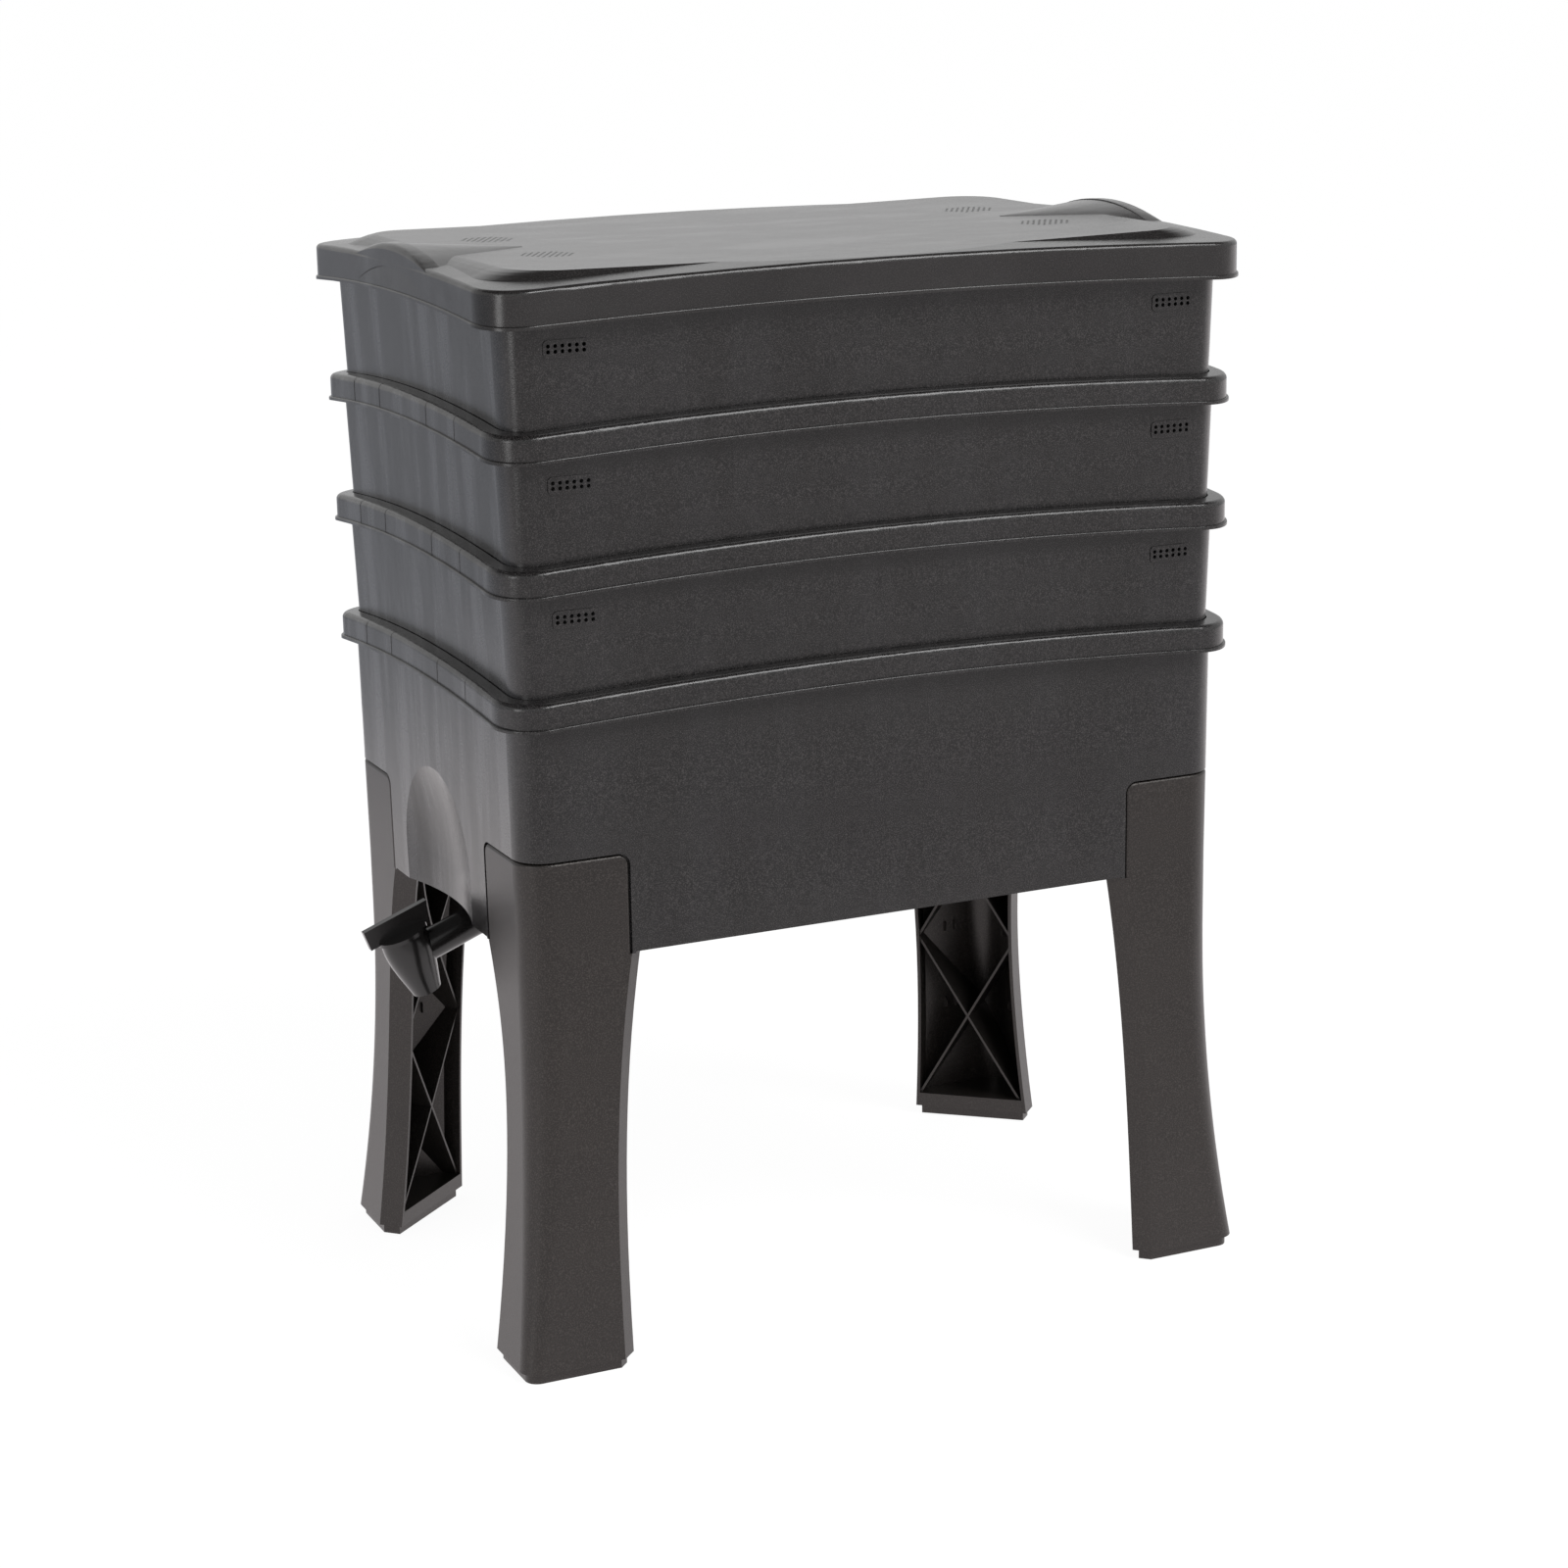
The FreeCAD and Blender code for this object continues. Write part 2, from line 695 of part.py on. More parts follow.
WALL_X = "(Sizes.tapX + Sizes.wallReach * cos(Sizes.tapTilt))"
WALL_Z = "(Sizes.tapZ + Sizes.wallReach * sin(Sizes.tapTilt))"


def sump_wall_x(level, inset):
    """Where the leaning sump wall stands at a level."""
    lean = "((" + level + ") - " + WALL_Z + ") * tan(Sizes.tapTilt)"
    return WALL_X + " - " + lean + " + (" + inset + ") / cos(Sizes.tapTilt)"


def sump_block(tag, inset, top):
    """Trough under the floor: leaning front wall for the tap, sloped back."""
    low = "Sizes.sumpBottomZ + (" + inset + ")"
    slope = "(Sizes.sumpBackTop - Sizes.sumpBackFoot) / (Sizes.floorLowZ - Sizes.sumpBottomZ)"
    back_top = ("Sizes.sumpBackFoot + ((" + top + ") - Sizes.sumpBottomZ) * " + slope
                + " - (" + inset + ")")
    back_foot = "Sizes.sumpBackFoot + (" + inset + ") * (" + slope + " - 1)"
    corners = (
        (sump_wall_x(low, inset), low),
        (back_foot, low),
        (back_top, top),
        (sump_wall_x(top, inset), top))
    return side_profile(tag, corners, "Sizes.sumpHalfWidth - (" + inset + ")")


def niche_shape(tag, growth):
    """Ball and upright round bar that hollow the skirt above the tap."""
    rule = "((Sizes.nicheHalfWidth ^ 2 + Sizes.nicheDepth ^ 2) / (2 * Sizes.nicheDepth))"
    face = "(Sizes.wallHalfLength + " + skirt_lean("Sizes.nicheCentreZ", "0") + ")"
    centre = "-" + face + " - " + rule + " + Sizes.nicheDepth"
    ball = doc.addObject("Part::Sphere", tag + "Ball")
    ball.Angle1 = 0.0
    ball.setExpression("Radius", rule + " + (" + growth + ")")
    ball.setExpression("Placement.Base.x", centre)
    ball.setExpression("Placement.Base.z", "Sizes.nicheCentreZ")
    bar = doc.addObject("Part::Cylinder", tag + "Bar")
    bar.setExpression("Radius", rule + " + (" + growth + ")")
    bar.setExpression("Height", "Sizes.cutOver")
    bar.setExpression("Placement.Base.x", centre)
    bar.setExpression("Placement.Base.z", "Sizes.nicheCentreZ - Sizes.cutOver")
    return combine("fuse", tag, ball, bar)


def tap_bore(tag, radius, start, length):
    """Round bar along the tap's barrel."""
    bar = doc.addObject("Part::Cylinder", tag)
    tilt = size("tapTilt")
    bar.Placement = FreeCAD.Placement(
        FreeCAD.Vector(0.0, 0.0, 0.0), FreeCAD.Rotation(AXIS_Y, 90.0 - tilt))
    bar.setExpression("Radius", radius)
    bar.setExpression("Height", length)
    bar.setExpression("Placement.Base.x", "Sizes.tapX + (" + start + ") * cos(Sizes.tapTilt)")
    bar.setExpression("Placement.Base.z", "Sizes.tapZ + (" + start + ") * sin(Sizes.tapTilt)")
    return bar


def make_collector():
    """Deep lower tub with a sloping floor, tap sump, leg seats and the hollow above the tap."""
    base = "Sizes.collectorRimZ"
    rim, top = rim_ring("Collector", base)
    outer = skirt_block("SkirtOuter", "0")
    capped = combine("common", "SkirtCapped", outer, top)
    lower_cavity = skirt_block("LowerCavity", "-Sizes.skirtSheet", "Sizes.upperCavityZ")
    upper_cavity = tray_walls(
        "UpperCavity", base, "-Sizes.wallSheet", "Sizes.upperCavityZ - Sizes.wallSheet")
    far = "Sizes.wallHalfLength + Sizes.cutOver"
    under = block(
        "UnderSkirt",
        ("-(" + far + ")", "-(" + far + ")", "Sizes.legShelfZ - Sizes.cutOver"),
        (far, far, "Sizes.skirtBottomZ"))
    rim = combine("cut", "CollectorMouth", rim, upper_cavity)
    ring = combine("cut", "SkirtLower", capped, lower_cavity)
    ring = combine("cut", "SkirtUpper", ring, upper_cavity)
    ring = combine("cut", "SkirtRing", ring, under)

    slab_corners = (
        ("-Sizes.wallHalfLength", "Sizes.floorLowZ - Sizes.floorSheet"),
        ("Sizes.wallHalfLength", "Sizes.floorHighZ - Sizes.floorSheet"),
        ("Sizes.wallHalfLength", "Sizes.floorHighZ"),
        ("-Sizes.wallHalfLength", "Sizes.floorLowZ"))
    slab = side_profile("FloorSlab", slab_corners, "Sizes.wallHalfWidth")
    tub_floor = combine("common", "TubFloor", slab, outer)
    sump = sump_block("SumpOuter", "0", "Sizes.floorLowZ")
    sump_room = sump_block("SumpInner", "Sizes.sumpSheet", "Sizes.floorHighZ + Sizes.floorSheet")

    behind = skirt_block("SeatBehind", "-Sizes.seatDepth - Sizes.skirtSheet")
    backing_zone = four_corners("BackingZones", seat_zone("BackingZone", "-Sizes.skirtSheet"))
    backing = combine("common", "BackingSolid", outer, backing_zone)
    backing = combine("cut", "Backing", backing, behind)
    seat_face = skirt_block("SeatFace", "-Sizes.seatDepth")
    seats = combine(
        "cut", "Seats", four_corners("SeatZones", seat_zone("SeatZone", "0")), seat_face)

    lean = "Sizes.skirtDraft + Sizes.seatDepth + Sizes.skirtSheet + 2 * Sizes.postSheet"
    ledge = "Sizes.collectorRimZ + Sizes.trayPitch - Sizes.trayDepth"
    posts, hollows = corner_posts("Collector", "Sizes.skirtBottomZ", ledge, lean, outer)

    lens = combine("common", "NicheLens", outer, niche_shape("NicheBacking", "Sizes.nicheBacking"))
    lens = combine("cut", "NicheLensTrim", lens, under)

    whole = combine("fuse", "CollectorTub", rim, ring)
    for label, extra in (("Floor", tub_floor), ("Sump", sump), ("Backing", backing),
                         ("Posts", posts), ("Lens", lens)):
        whole = combine("fuse", "CollectorWith" + label, whole, extra)
    whole = combine("cut", "CollectorSeated", whole, seats)
    whole = combine("cut", "CollectorNiche", whole, niche_shape("Niche", "0"))
    whole = combine("cut", "CollectorSump", whole, sump_room)
    whole = combine("cut", "CollectorCored", whole, hollows)
    hole = tap_bore(
        "TapHole", "Sizes.threadRadius + Sizes.holeClearance",
        "Sizes.wallReach - Sizes.washerThick", "Sizes.sumpSheet + 3 * Sizes.washerThick")
    whole = combine("cut", "CollectorDrilled", whole, hole)
    return [placed_body("collector_tray", whole)]


LEG_STEPS = (0.0, 0.2, 0.4, 0.6, 0.78, 0.91, 1.0)


def leg_outline(level):
    """Expressions for the leg's outer faces, free edges and corner at a level."""
    rise = "((" + level + ") - Sizes.footBandZ) / (Sizes.legShelfZ - Sizes.footBandZ)"
    down = "(Sizes.legFlareTopZ - (" + level + ")) / (Sizes.legFlareTopZ - Sizes.footBandZ)"
    flare = "max(0; " + down + ") ^ 2"

    def wall(name, foot):
        top = "(Sizes." + name + " - Sizes.skirtDraft)"
        return top + " + (Sizes." + foot + " - " + top + ") * " + flare

    face_x = wall("wallHalfLength", "footHalfX")
    face_y = wall("wallHalfWidth", "footHalfY")
    corner = wall("wallCornerRadius", "legCornerFoot")
    wide = ("Sizes.legWideFoot - (Sizes.legWideFoot - Sizes.legWideTop)"
            " * (" + rise + ") ^ Sizes.legWideCurve")
    narrow = ("Sizes.legNarrowFoot - (Sizes.legNarrowFoot - Sizes.legNarrowTop)"
              " * (" + rise + ") ^ Sizes.legNarrowCurve")
    return face_x, face_y, corner, wide, narrow


def leg_section(body, name, plane_level, level, inset, setback):
    """Plan of a leg: two walls with a round corner, two bevelled returns and the open diagonal."""
    face_x, face_y, corner, wide, narrow = leg_outline(level)
    along = "((" + inset + ") + (" + setback + ")) / " + ROOT_TWO
    across = "((" + setback + ") - (" + inset + ")) / " + ROOT_TWO
    turn = "(" + inset + ") * (" + ROOT_TWO + " - 1)"
    corners = (
        (wide + " + " + turn, face_y + " - (" + inset + ")"),
        (wide + " - Sizes.bevelWide + " + along, face_y + " - Sizes.bevelWide + " + across),
        (face_x + " - Sizes.bevelNarrow + " + across, narrow + " - Sizes.bevelNarrow + " + along),
        (face_x + " - (" + inset + ")", narrow + " + " + turn))
    values = [[value_of(part) for part in pair] for pair in corners]
    radius_rule = corner + " - (" + inset + ")"
    radius = value_of(radius_rule)
    x = values[3][0]
    y = values[0][1]
    sketch = new_sketch(body, name, "XY_Plane", plane_level)
    for start, end in ((0, 1), (1, 2), (2, 3)):
        sketch.addGeometry(Part.LineSegment(point(*values[start]), point(*values[end])))
    sketch.addGeometry(Part.LineSegment(point(*values[3]), point(x, y - radius)))
    sketch.addGeometry(arc_of(x - radius, y - radius, radius, 0.0, QUARTER))
    sketch.addGeometry(Part.LineSegment(point(x - radius, y), point(*values[0])))
    for first, second in ((0, 1), (1, 2), (2, 3), (5, 0)):
        sketch.addConstraint(Sketcher.Constraint("Coincident", first, 2, second, 1))
    sketch.addConstraint(Sketcher.Constraint("Vertical", 3))
    sketch.addConstraint(Sketcher.Constraint("Horizontal", 5))
    sketch.addConstraint(Sketcher.Constraint("Tangent", 3, 2, 4, 1))
    sketch.addConstraint(Sketcher.Constraint("Tangent", 4, 2, 5, 1))
    for index, pair in enumerate(corners):
        bind_point(sketch, "corner" + str(index), index, 1, pair)
    bind(sketch, "round", Sketcher.Constraint("Radius", 4, radius), radius_rule)
    return sketch


def leg_loft(tag, low, high, inset, setback):
    """Smooth leg body through plans at several heights."""
    body = new_body(tag)
    sections = []
    for number, step in enumerate(LEG_STEPS):
        level = "(" + low + ") + (" + span(low, high) + ") * " + str(step)
        sections.append(leg_section(body, tag + str(number), level, level, inset, setback))
    loft(body, tag, sections)
    return body


def leg_ribs(low, high):
    """Crossed ribs seen through the open diagonal, two crosses one above the other."""
    slope = "(Sizes.legRibPitch / Sizes.legRibWidth)"
    half = "(Sizes.cutOver)"
    lift = "(Sizes.legRibSheet / 2 * sqrt(1 + " + slope + " ^ 2))"
    bars = []
    for module in (0, 1):
        middle = "(Sizes.legRibLowZ + Sizes.legRibPitch * " + str(module + 0.5) + ")"
        for sign in ("", "-"):
            left = middle + " - (" + sign + slope + ") * " + half
            right = middle + " + (" + sign + slope + ") * " + half
            corners = (
                ("-" + half, left + " - " + lift),
                (half, right + " - " + lift),
                (half, right + " + " + lift),
                ("-" + half, left + " + " + lift))
            label = "LegRib" + str(module) + ("Up" if sign == "" else "Down")
            bar = side_profile(label, corners, "2 * Sizes.cutOver")
            bar.Placement = FreeCAD.Placement(
                FreeCAD.Vector(size("legRibCentreX"), size("legRibCentreY"), 0.0),
                FreeCAD.Rotation(FreeCAD.Vector(0.0, 0.0, 1.0), -45.0))
            bars.append(bar)
    crosses = combine("fuse", "LegCrosses", *bars)
    field = leg_loft(
        "LegRibField", low + " - Sizes.legRibSheet / 2", high + " + Sizes.legRibSheet / 2",
        "Sizes.legSheet / 2", "Sizes.legRibSetBack")
    return combine("common", "LegRibs", crosses, field)


def make_legs():
    """Hollow corner legs; one is drawn, the others are its mirror images."""
    low = "Sizes.footBandZ + Sizes.footBandHeight"
    high = "Sizes.legShelfZ - Sizes.legShelfSheet"
    hull = leg_loft("LegHull", "Sizes.footBandZ", "Sizes.legShelfZ", "0", "0")
    room = leg_loft("LegRoom", low, high, "Sizes.legSheet", "-Sizes.legWideTop / 10")
    shell = combine("cut", "LegShell", hull, room)
    foot = new_body("LegFoot")
    plan = leg_section(foot, "LegFootPlan", "0", "Sizes.footBandZ", "Sizes.footInset", "Sizes.footInset")
    pad(foot, plan, "Sizes.footBandZ")
    panel = combine(
        "common", "LegPanelSolid", skirt_block("LegPanelOuter", "0"),
        seat_zone("LegPanelZone", "Sizes.seatGap"))
    side_x = value_of("Sizes.seatHalfX + Sizes.seatGap")
    side_y = value_of("Sizes.seatHalfY + Sizes.seatGap")
    wall_x = value_of("Sizes.wallHalfLength - 2 * Sizes.skirtDraft")
    wall_y = value_of("Sizes.wallHalfWidth - 2 * Sizes.skirtDraft")

    def outer_rim(edge):
        box = edge.BoundBox
        if box.Center.y < wall_y and box.Center.x < wall_x:
            return False
        upper = box.ZMin > size("legShelfZ") + 1.0
        return upper or (box.ZMax > size("legShelfZ") + 1.0 and (
            box.Center.x < side_x + 1.0 or box.Center.y < side_y + 1.0))

    panel = edge_fillet("LegPanelRounded", panel, size("legPanelEdge"), outer_rim)
    panel = combine("cut", "LegPanel", panel, skirt_block("LegPanelInner", "-Sizes.legPanel"))
    drawn = combine("fuse", "LegDrawn", shell, foot, panel, leg_ribs(low, high))
    front = mirrored("LegFrontRight", drawn, AXIS_Y)
    return [
        placed_body("leg_rear_right", drawn),
        placed_body("leg_rear_left", mirrored("LegRearLeft", drawn, AXIS_X)),
        placed_body("leg_front_right", front),
        placed_body("leg_front_left", mirrored("LegFrontLeft", front, AXIS_X))]


LID = ("lidHalfLength", "lidHalfWidth", "lidCornerRadius")
ROLL_ANGLES = ("0", "30", "60", "90")
# shares of the panel's end slope, side slope and depth at each plan, from the foot upwards
PANEL_STEPS = (
    (1.0, 1.0, 1.0), (0.63, 0.56, 0.6), (0.35, 0.28, 0.34), (0.15, 0.12, 0.19), (-0.04, 0.02, 0.09))


def lid_level(text):
    return "Sizes.lidRimZ + " + text


def dish_level(x):
    """Height of the dished top over the lid's rim at a distance from the middle."""
    return "(Sizes.panelDishLow + Sizes.panelDishRise * ((" + x + ") / Sizes.panelHalfLength) ^ 2)"


def dish_block(label, level):
    """Block above the lid's top; its underside is a shallow arc, lowest in the middle."""
    body = new_body(label)
    radius_rule = "(Sizes.panelHalfLength ^ 2 / (2 * Sizes.panelDishRise))"
    reach_rule = "(Sizes.lidHalfLength + Sizes.cutOver)"
    side_rule = (level + " + " + radius_rule + " - sqrt(" + radius_rule + " ^ 2 - "
                 + reach_rule + " ^ 2)")
    top_rule = level + " + Sizes.cutOver"
    reach = value_of(reach_rule)
    radius = value_of(radius_rule)
    side = value_of(side_rule)
    top = value_of(top_rule)
    centre = value_of(level) + radius
    sketch = new_sketch(body, label + "Arc", "XZ_Plane")
    turn = math.asin(reach / radius)
    sketch.addGeometry(Part.LineSegment(point(reach, top), point(-reach, top)))
    sketch.addGeometry(Part.LineSegment(point(-reach, top), point(-reach, side)))
    sketch.addGeometry(arc_of(0.0, centre, radius, -QUARTER - turn, -QUARTER + turn))
    sketch.addGeometry(Part.LineSegment(point(reach, side), point(reach, top)))
    for index in range(4):
        following = (index + 1) % 4
        sketch.addConstraint(Sketcher.Constraint("Coincident", index, 2, following, 1))
    bind_point(sketch, "highRight", 0, 1, (reach_rule, top_rule))
    bind_point(sketch, "highLeft", 0, 2, ("-" + reach_rule, top_rule))
    bind_point(sketch, "lowLeft", 2, 1, ("-" + reach_rule, side_rule))
    bind_point(sketch, "lowRight", 2, 2, (reach_rule, side_rule))
    bind(sketch, "arc", Sketcher.Constraint("Radius", 2, radius), radius_rule)
    pad(body, sketch, "2 * (Sizes.lidHalfWidth + Sizes.cutOver)", midplane=True)
    return body


def grip_piece(tag, stations, ruled=True):
    """Arched hump lofted between stations given as (x, half width, foot, top)."""
    body = new_body(tag)
    sections = []
    for number, (x, half_width, foot, top) in enumerate(stations):
        sketch = new_sketch(body, tag + str(number), "YZ_Plane", x)
        crown(sketch, half_width, lid_level(foot), lid_level(top))
        sections.append(sketch)
    loft(body, tag, sections, ruled)
    return body


def lid_grips(tag, inset, roll_stations):
    """Finger grip at one short end: a rolled front and a ridge that fades into the panel."""
    front = "Sizes.lidHalfLength - (" + inset + ")"
    crease = "Sizes.lidHalfLength - Sizes.gripRoll + (" + inset + ")"
    width = "Sizes.gripHalfWidth - 2 * (" + inset + ")"
    foot = "Sizes.gripFoot - 2 * (" + inset + ")"
    top = "Sizes.gripTop - (" + inset + ")"
    ridge = top + " - Sizes.gripRidgeDrop"
    tip_x = "Sizes.gripTipX + 8 * (" + inset + ")"
    tip_top = dish_level("Sizes.gripTipX") + " + Sizes.gripTipRise - (" + inset + ")"
    tip_foot = tip_top + " - Sizes.gripTipDepth"
    straight = front + " - Sizes.gripRollRadius"
    stations = [(crease, width, foot, top)]
    if roll_stations:
        stations.append(("(" + crease + ") / 2 + (" + straight + ") / 2", width, foot, top))
    for angle in roll_stations:
        x = straight + " + Sizes.gripRollRadius * sin(" + angle + ")"
        crown_top = top + " - Sizes.gripRollRadius * (1 - cos(" + angle + "))"
        stations.append((x, width, foot, crown_top))
    if not roll_stations:
        stations.append((front, width, foot, top))
    roll = grip_piece(tag + "Roll", stations, ruled=not roll_stations)
    back = grip_piece(tag + "Ridge", (
        (tip_x, "Sizes.gripTipHalfWidth", tip_foot, tip_top), (crease, width, foot, ridge)))
    return roll, back


def lid_recess():
    """Shallow arched finger recess in the end face, deepest at its top."""
    body = new_body("RecessArch")
    sketch = new_sketch(body, "RecessArchPlan", "YZ_Plane", "Sizes.lidHalfLength - Sizes.cutOver / 2")
    crown(sketch, "Sizes.recessHalfWidth", lid_level("Sizes.recessFoot"), lid_level("Sizes.recessTop"))
    pad(body, sketch, "Sizes.cutOver")
    low = lid_level("Sizes.recessFoot")
    high = lid_level("Sizes.recessTop + Sizes.recessDepth")
    corners = (
        ("Sizes.lidHalfLength", low),
        ("Sizes.lidHalfLength + Sizes.recessDepth", low),
        ("Sizes.lidHalfLength + Sizes.recessDepth", high),
        ("Sizes.lidHalfLength - Sizes.recessDepth", high))
    wedge = side_profile("RecessWedge", corners, "Sizes.gripHalfWidth + Sizes.recessDepth")
    return both_ends("Recesses", combine("common", "Recess", body, wedge))


def lid_rests(deck_under):
    """Small pads under the deck that stand on the rim of the top tray."""
    arch = ("archLong", "archShort", "rimHalfLength", "rimHalfWidth")
    tray_top = "Sizes.collectorRimZ + 3 * Sizes.trayPitch + Sizes.rimHeight + Sizes.restGap"
    rest = block(
        "Rest",
        ("Sizes.restX", "Sizes.restInnerY", lid_level("Sizes.backingFoot")),
        ("Sizes.restX + Sizes.restLength", "Sizes.restOuterY", lid_level("Sizes.panelTop")))
    rests = combine("cut", "RestsLow", four_corners("Rests", rest), dome("RestDome", tray_top, *arch))
    return combine("common", "RestPads", rests, deck_under)


def perforate_lid(body):
    """Four round patches of fine vent holes in a honeycomb pattern."""
    sketch = new_sketch(body, "Vents", "XY_Plane", lid_level("Sizes.panelTop + Sizes.lidSheet"))
    pitch = size("ventPitch")
    radius = size("ventRadius")
    centres = []
    for row in range(-VENT_RINGS, VENT_RINGS + 1):
        count = 2 * VENT_RINGS + 1 - abs(row)
        for column in range(count):
            x = size("ventCentreX") + (column - (count - 1) / 2.0) * pitch
            y = size("ventCentreY") + row * pitch * math.sqrt(3.0) / 2.0
            centres.append((x, y))
    for number, (x, y) in enumerate(centres):
        sketch.addGeometry(Part.Circle(point(x, y), FreeCAD.Vector(0.0, 0.0, 1.0), radius))
        sketch.addConstraint(Sketcher.Constraint("DistanceX", -1, 1, number, 3, x))
        sketch.addConstraint(Sketcher.Constraint("DistanceY", -1, 1, number, 3, y))
        if number:
            sketch.addConstraint(Sketcher.Constraint("Equal", 0, number))
    bind(sketch, "hole", Sketcher.Constraint("Radius", 0, radius), "Sizes.ventRadius")
    pattern_pocket(
        body, "VentHole", sketch, "3 * Sizes.lidSheet",
        (("YZ_Plane", None, None), ("XZ_Plane", None, None)))


def panel_block(tag, inset):
    """Raised panel of the lid: steep long sides, gentle ends and a softened edge."""
    body = new_body(tag)
    plans = []
    for end_share, side_share, depth_share in PANEL_STEPS:
        deeper = " - 2 * (" if depth_share == 1.0 else " - ("
        plans.append((
            "Sizes.panelSlopeEnd * " + str(end_share) + " - (" + inset + ")",
            "Sizes.panelSlopeSide * " + str(side_share) + " - (" + inset + ")",
            "Sizes.panelTop - (Sizes.panelTop - Sizes.panelFoot) * " + str(depth_share)
            + deeper + inset + ")"))
    plans.append((
        "-Sizes.panelCrestEnd - (" + inset + ")", "-Sizes.panelCrestSide - (" + inset + ")",
        "Sizes.panelTop - (" + inset + ")"))
    sections = []
    for number, (end, side, level) in enumerate(plans):
        sketch = new_sketch(body, tag + str(number), "XY_Plane", lid_level(level))
        rounded_rectangle(sketch, (
            "Sizes.panelHalfLength + " + end, "Sizes.panelHalfWidth + " + side,
            "Sizes.panelCornerRadius + " + side))
        sections.append(sketch)
    loft(body, tag, sections, ruled=True)
    return body


def make_lid():
    """Thin lid: arched deck, dished raised panel, two grips, vents and small rests."""
    base = "Sizes.lidRimZ"
    low = base + " - Sizes.cutOver"
    crease_arch = ("lidArchLong", "lidArchShort", "lidHalfLength", "lidHalfWidth")
    deck_arch = ("lidArchLong", "deckArchShort", "lidHalfLength", "lidHalfWidth")
    high = lid_level("Sizes.panelTop + Sizes.lidArchLong")
    band = prism("LidBand", grown(LID), low, high)
    deck = dome("LidDeckDome", lid_level("Sizes.lidBand"), *deck_arch)
    capped = combine("common", "LidCapped", band, deck)
    band_top = value_of(lid_level("Sizes.lidBand")) - 1.0
    half_x = size("lidHalfLength") - size("lidCornerRadius")
    half_y = size("lidHalfWidth") - size("lidCornerRadius")

    def outer_edge(edge):
        box = edge.BoundBox
        far = max(abs(box.Center.x) - half_x, abs(box.Center.y) - half_y) > 0.0
        return far and box.ZMin > band_top

    rounded = edge_fillet("LidEdge", capped, size("lidEdgeRadius"), outer_edge)

    raised = combine("fuse", "LidRaised", rounded, panel_block("LidPanel", "0"))
    dished = combine("cut", "LidDished", raised, dish_block("LidDish", lid_level("Sizes.panelDishLow")))
    roll, ridge = lid_grips("Grip", "0", ROLL_ANGLES)
    grips = both_ends("Grips", combine("fuse", "Grip", roll, ridge))
    roll_room, ridge_room = lid_grips("GripRoom", "Sizes.lidSheet", ())
    grip_rooms = both_ends("GripRooms", combine("fuse", "GripRoom", roll_room, ridge_room))

    lip = prism("LidLip", grown(LID, "Sizes.lidLipReach"), low, lid_level("Sizes.panelTop"))
    lip_low = combine("common", "LidLipLow", lip, dome("LidCreaseDome", base, *crease_arch))
    lip_top = size("lidRimZ") - 1.0
    lip_round = edge_fillet(
        "LidLipRound", lip_low, size("lipEdge"), lambda edge: edge.BoundBox.ZMin > lip_top)
    whole = combine("fuse", "LidWhole", dished, grips, lip_round)
    trimmed = combine(
        "cut", "LidTrimmed", whole, dome("LidUnderDome", base + " - Sizes.lidLipHeight", *crease_arch))
    inside = prism("LidInside", grown(LID, "-Sizes.lidSheet"), low, high)
    ceiling = dome("LidCeilingDome", lid_level("Sizes.lidBand - Sizes.lidSheet"), *deck_arch)
    room = combine(
        "fuse", "LidRoom", combine("common", "LidDeckRoom", inside, ceiling),
        panel_block("LidPanelRoom", "Sizes.lidSheet"))
    room_top = dish_block("LidRoomDish", lid_level("Sizes.panelDishLow - Sizes.lidSheet"))
    opened = combine("cut", "LidOpen", trimmed, combine("cut", "LidRoomDished", room, room_top))
    opened = combine("cut", "LidGripOpen", opened, grip_rooms)

    plate = block(
        "RecessPlate",
        ("Sizes.lidHalfLength - Sizes.recessDepth - Sizes.recessBacking",
         "-Sizes.gripHalfWidth", lid_level("Sizes.backingFoot")),
        ("Sizes.lidHalfLength - Sizes.lidSheet / 2", "Sizes.gripHalfWidth",
         lid_level("Sizes.backingTop")))
    backed = combine(
        "fuse", "LidBacked", opened, both_ends("RecessPlates", plate), lid_rests(capped))
    recessed = combine("cut", "LidShell", backed, lid_recess())
    body = placed_body("lid", recessed)
    perforate_lid(body)
    return [body]


def in_tap_frame(body):
    """Place a body in the tap's own leaning frame."""
    body.Placement = FreeCAD.Placement(
        FreeCAD.Vector(value_of("Sizes.tapX + " + MIDDLE), 0.0, size("tapZ")),
        FreeCAD.Rotation(FreeCAD.Vector(0.0, -1.0, 0.0), size("tapTilt")))
    body.setExpression("Placement.Base.x", "Sizes.tapX + " + MIDDLE)
    body.setExpression("Placement.Base.z", "Sizes.tapZ")
    body.setExpression("Placement.Rotation.Angle", "Sizes.tapTilt")
    return body


def revolve(body, name, kind, corners, axis):
    """Full turn of an outline in the XZ plane, added or taken away."""
    sketch = new_sketch(body, name, "XZ_Plane")
    polygon(sketch, corners)
    feature = body.newObject("PartDesign::" + kind, name + kind)
    feature.Profile = sketch
    feature.ReferenceAxis = (origin_part(body, axis), [""])
    feature.Angle = FULL_TURN
    body.Tip = feature
    return feature


THREAD_START = "(Sizes.wallReach - Sizes.washerThick)"
NUT_START = "(Sizes.wallReach + Sizes.sumpSheet + Sizes.washerThick)"


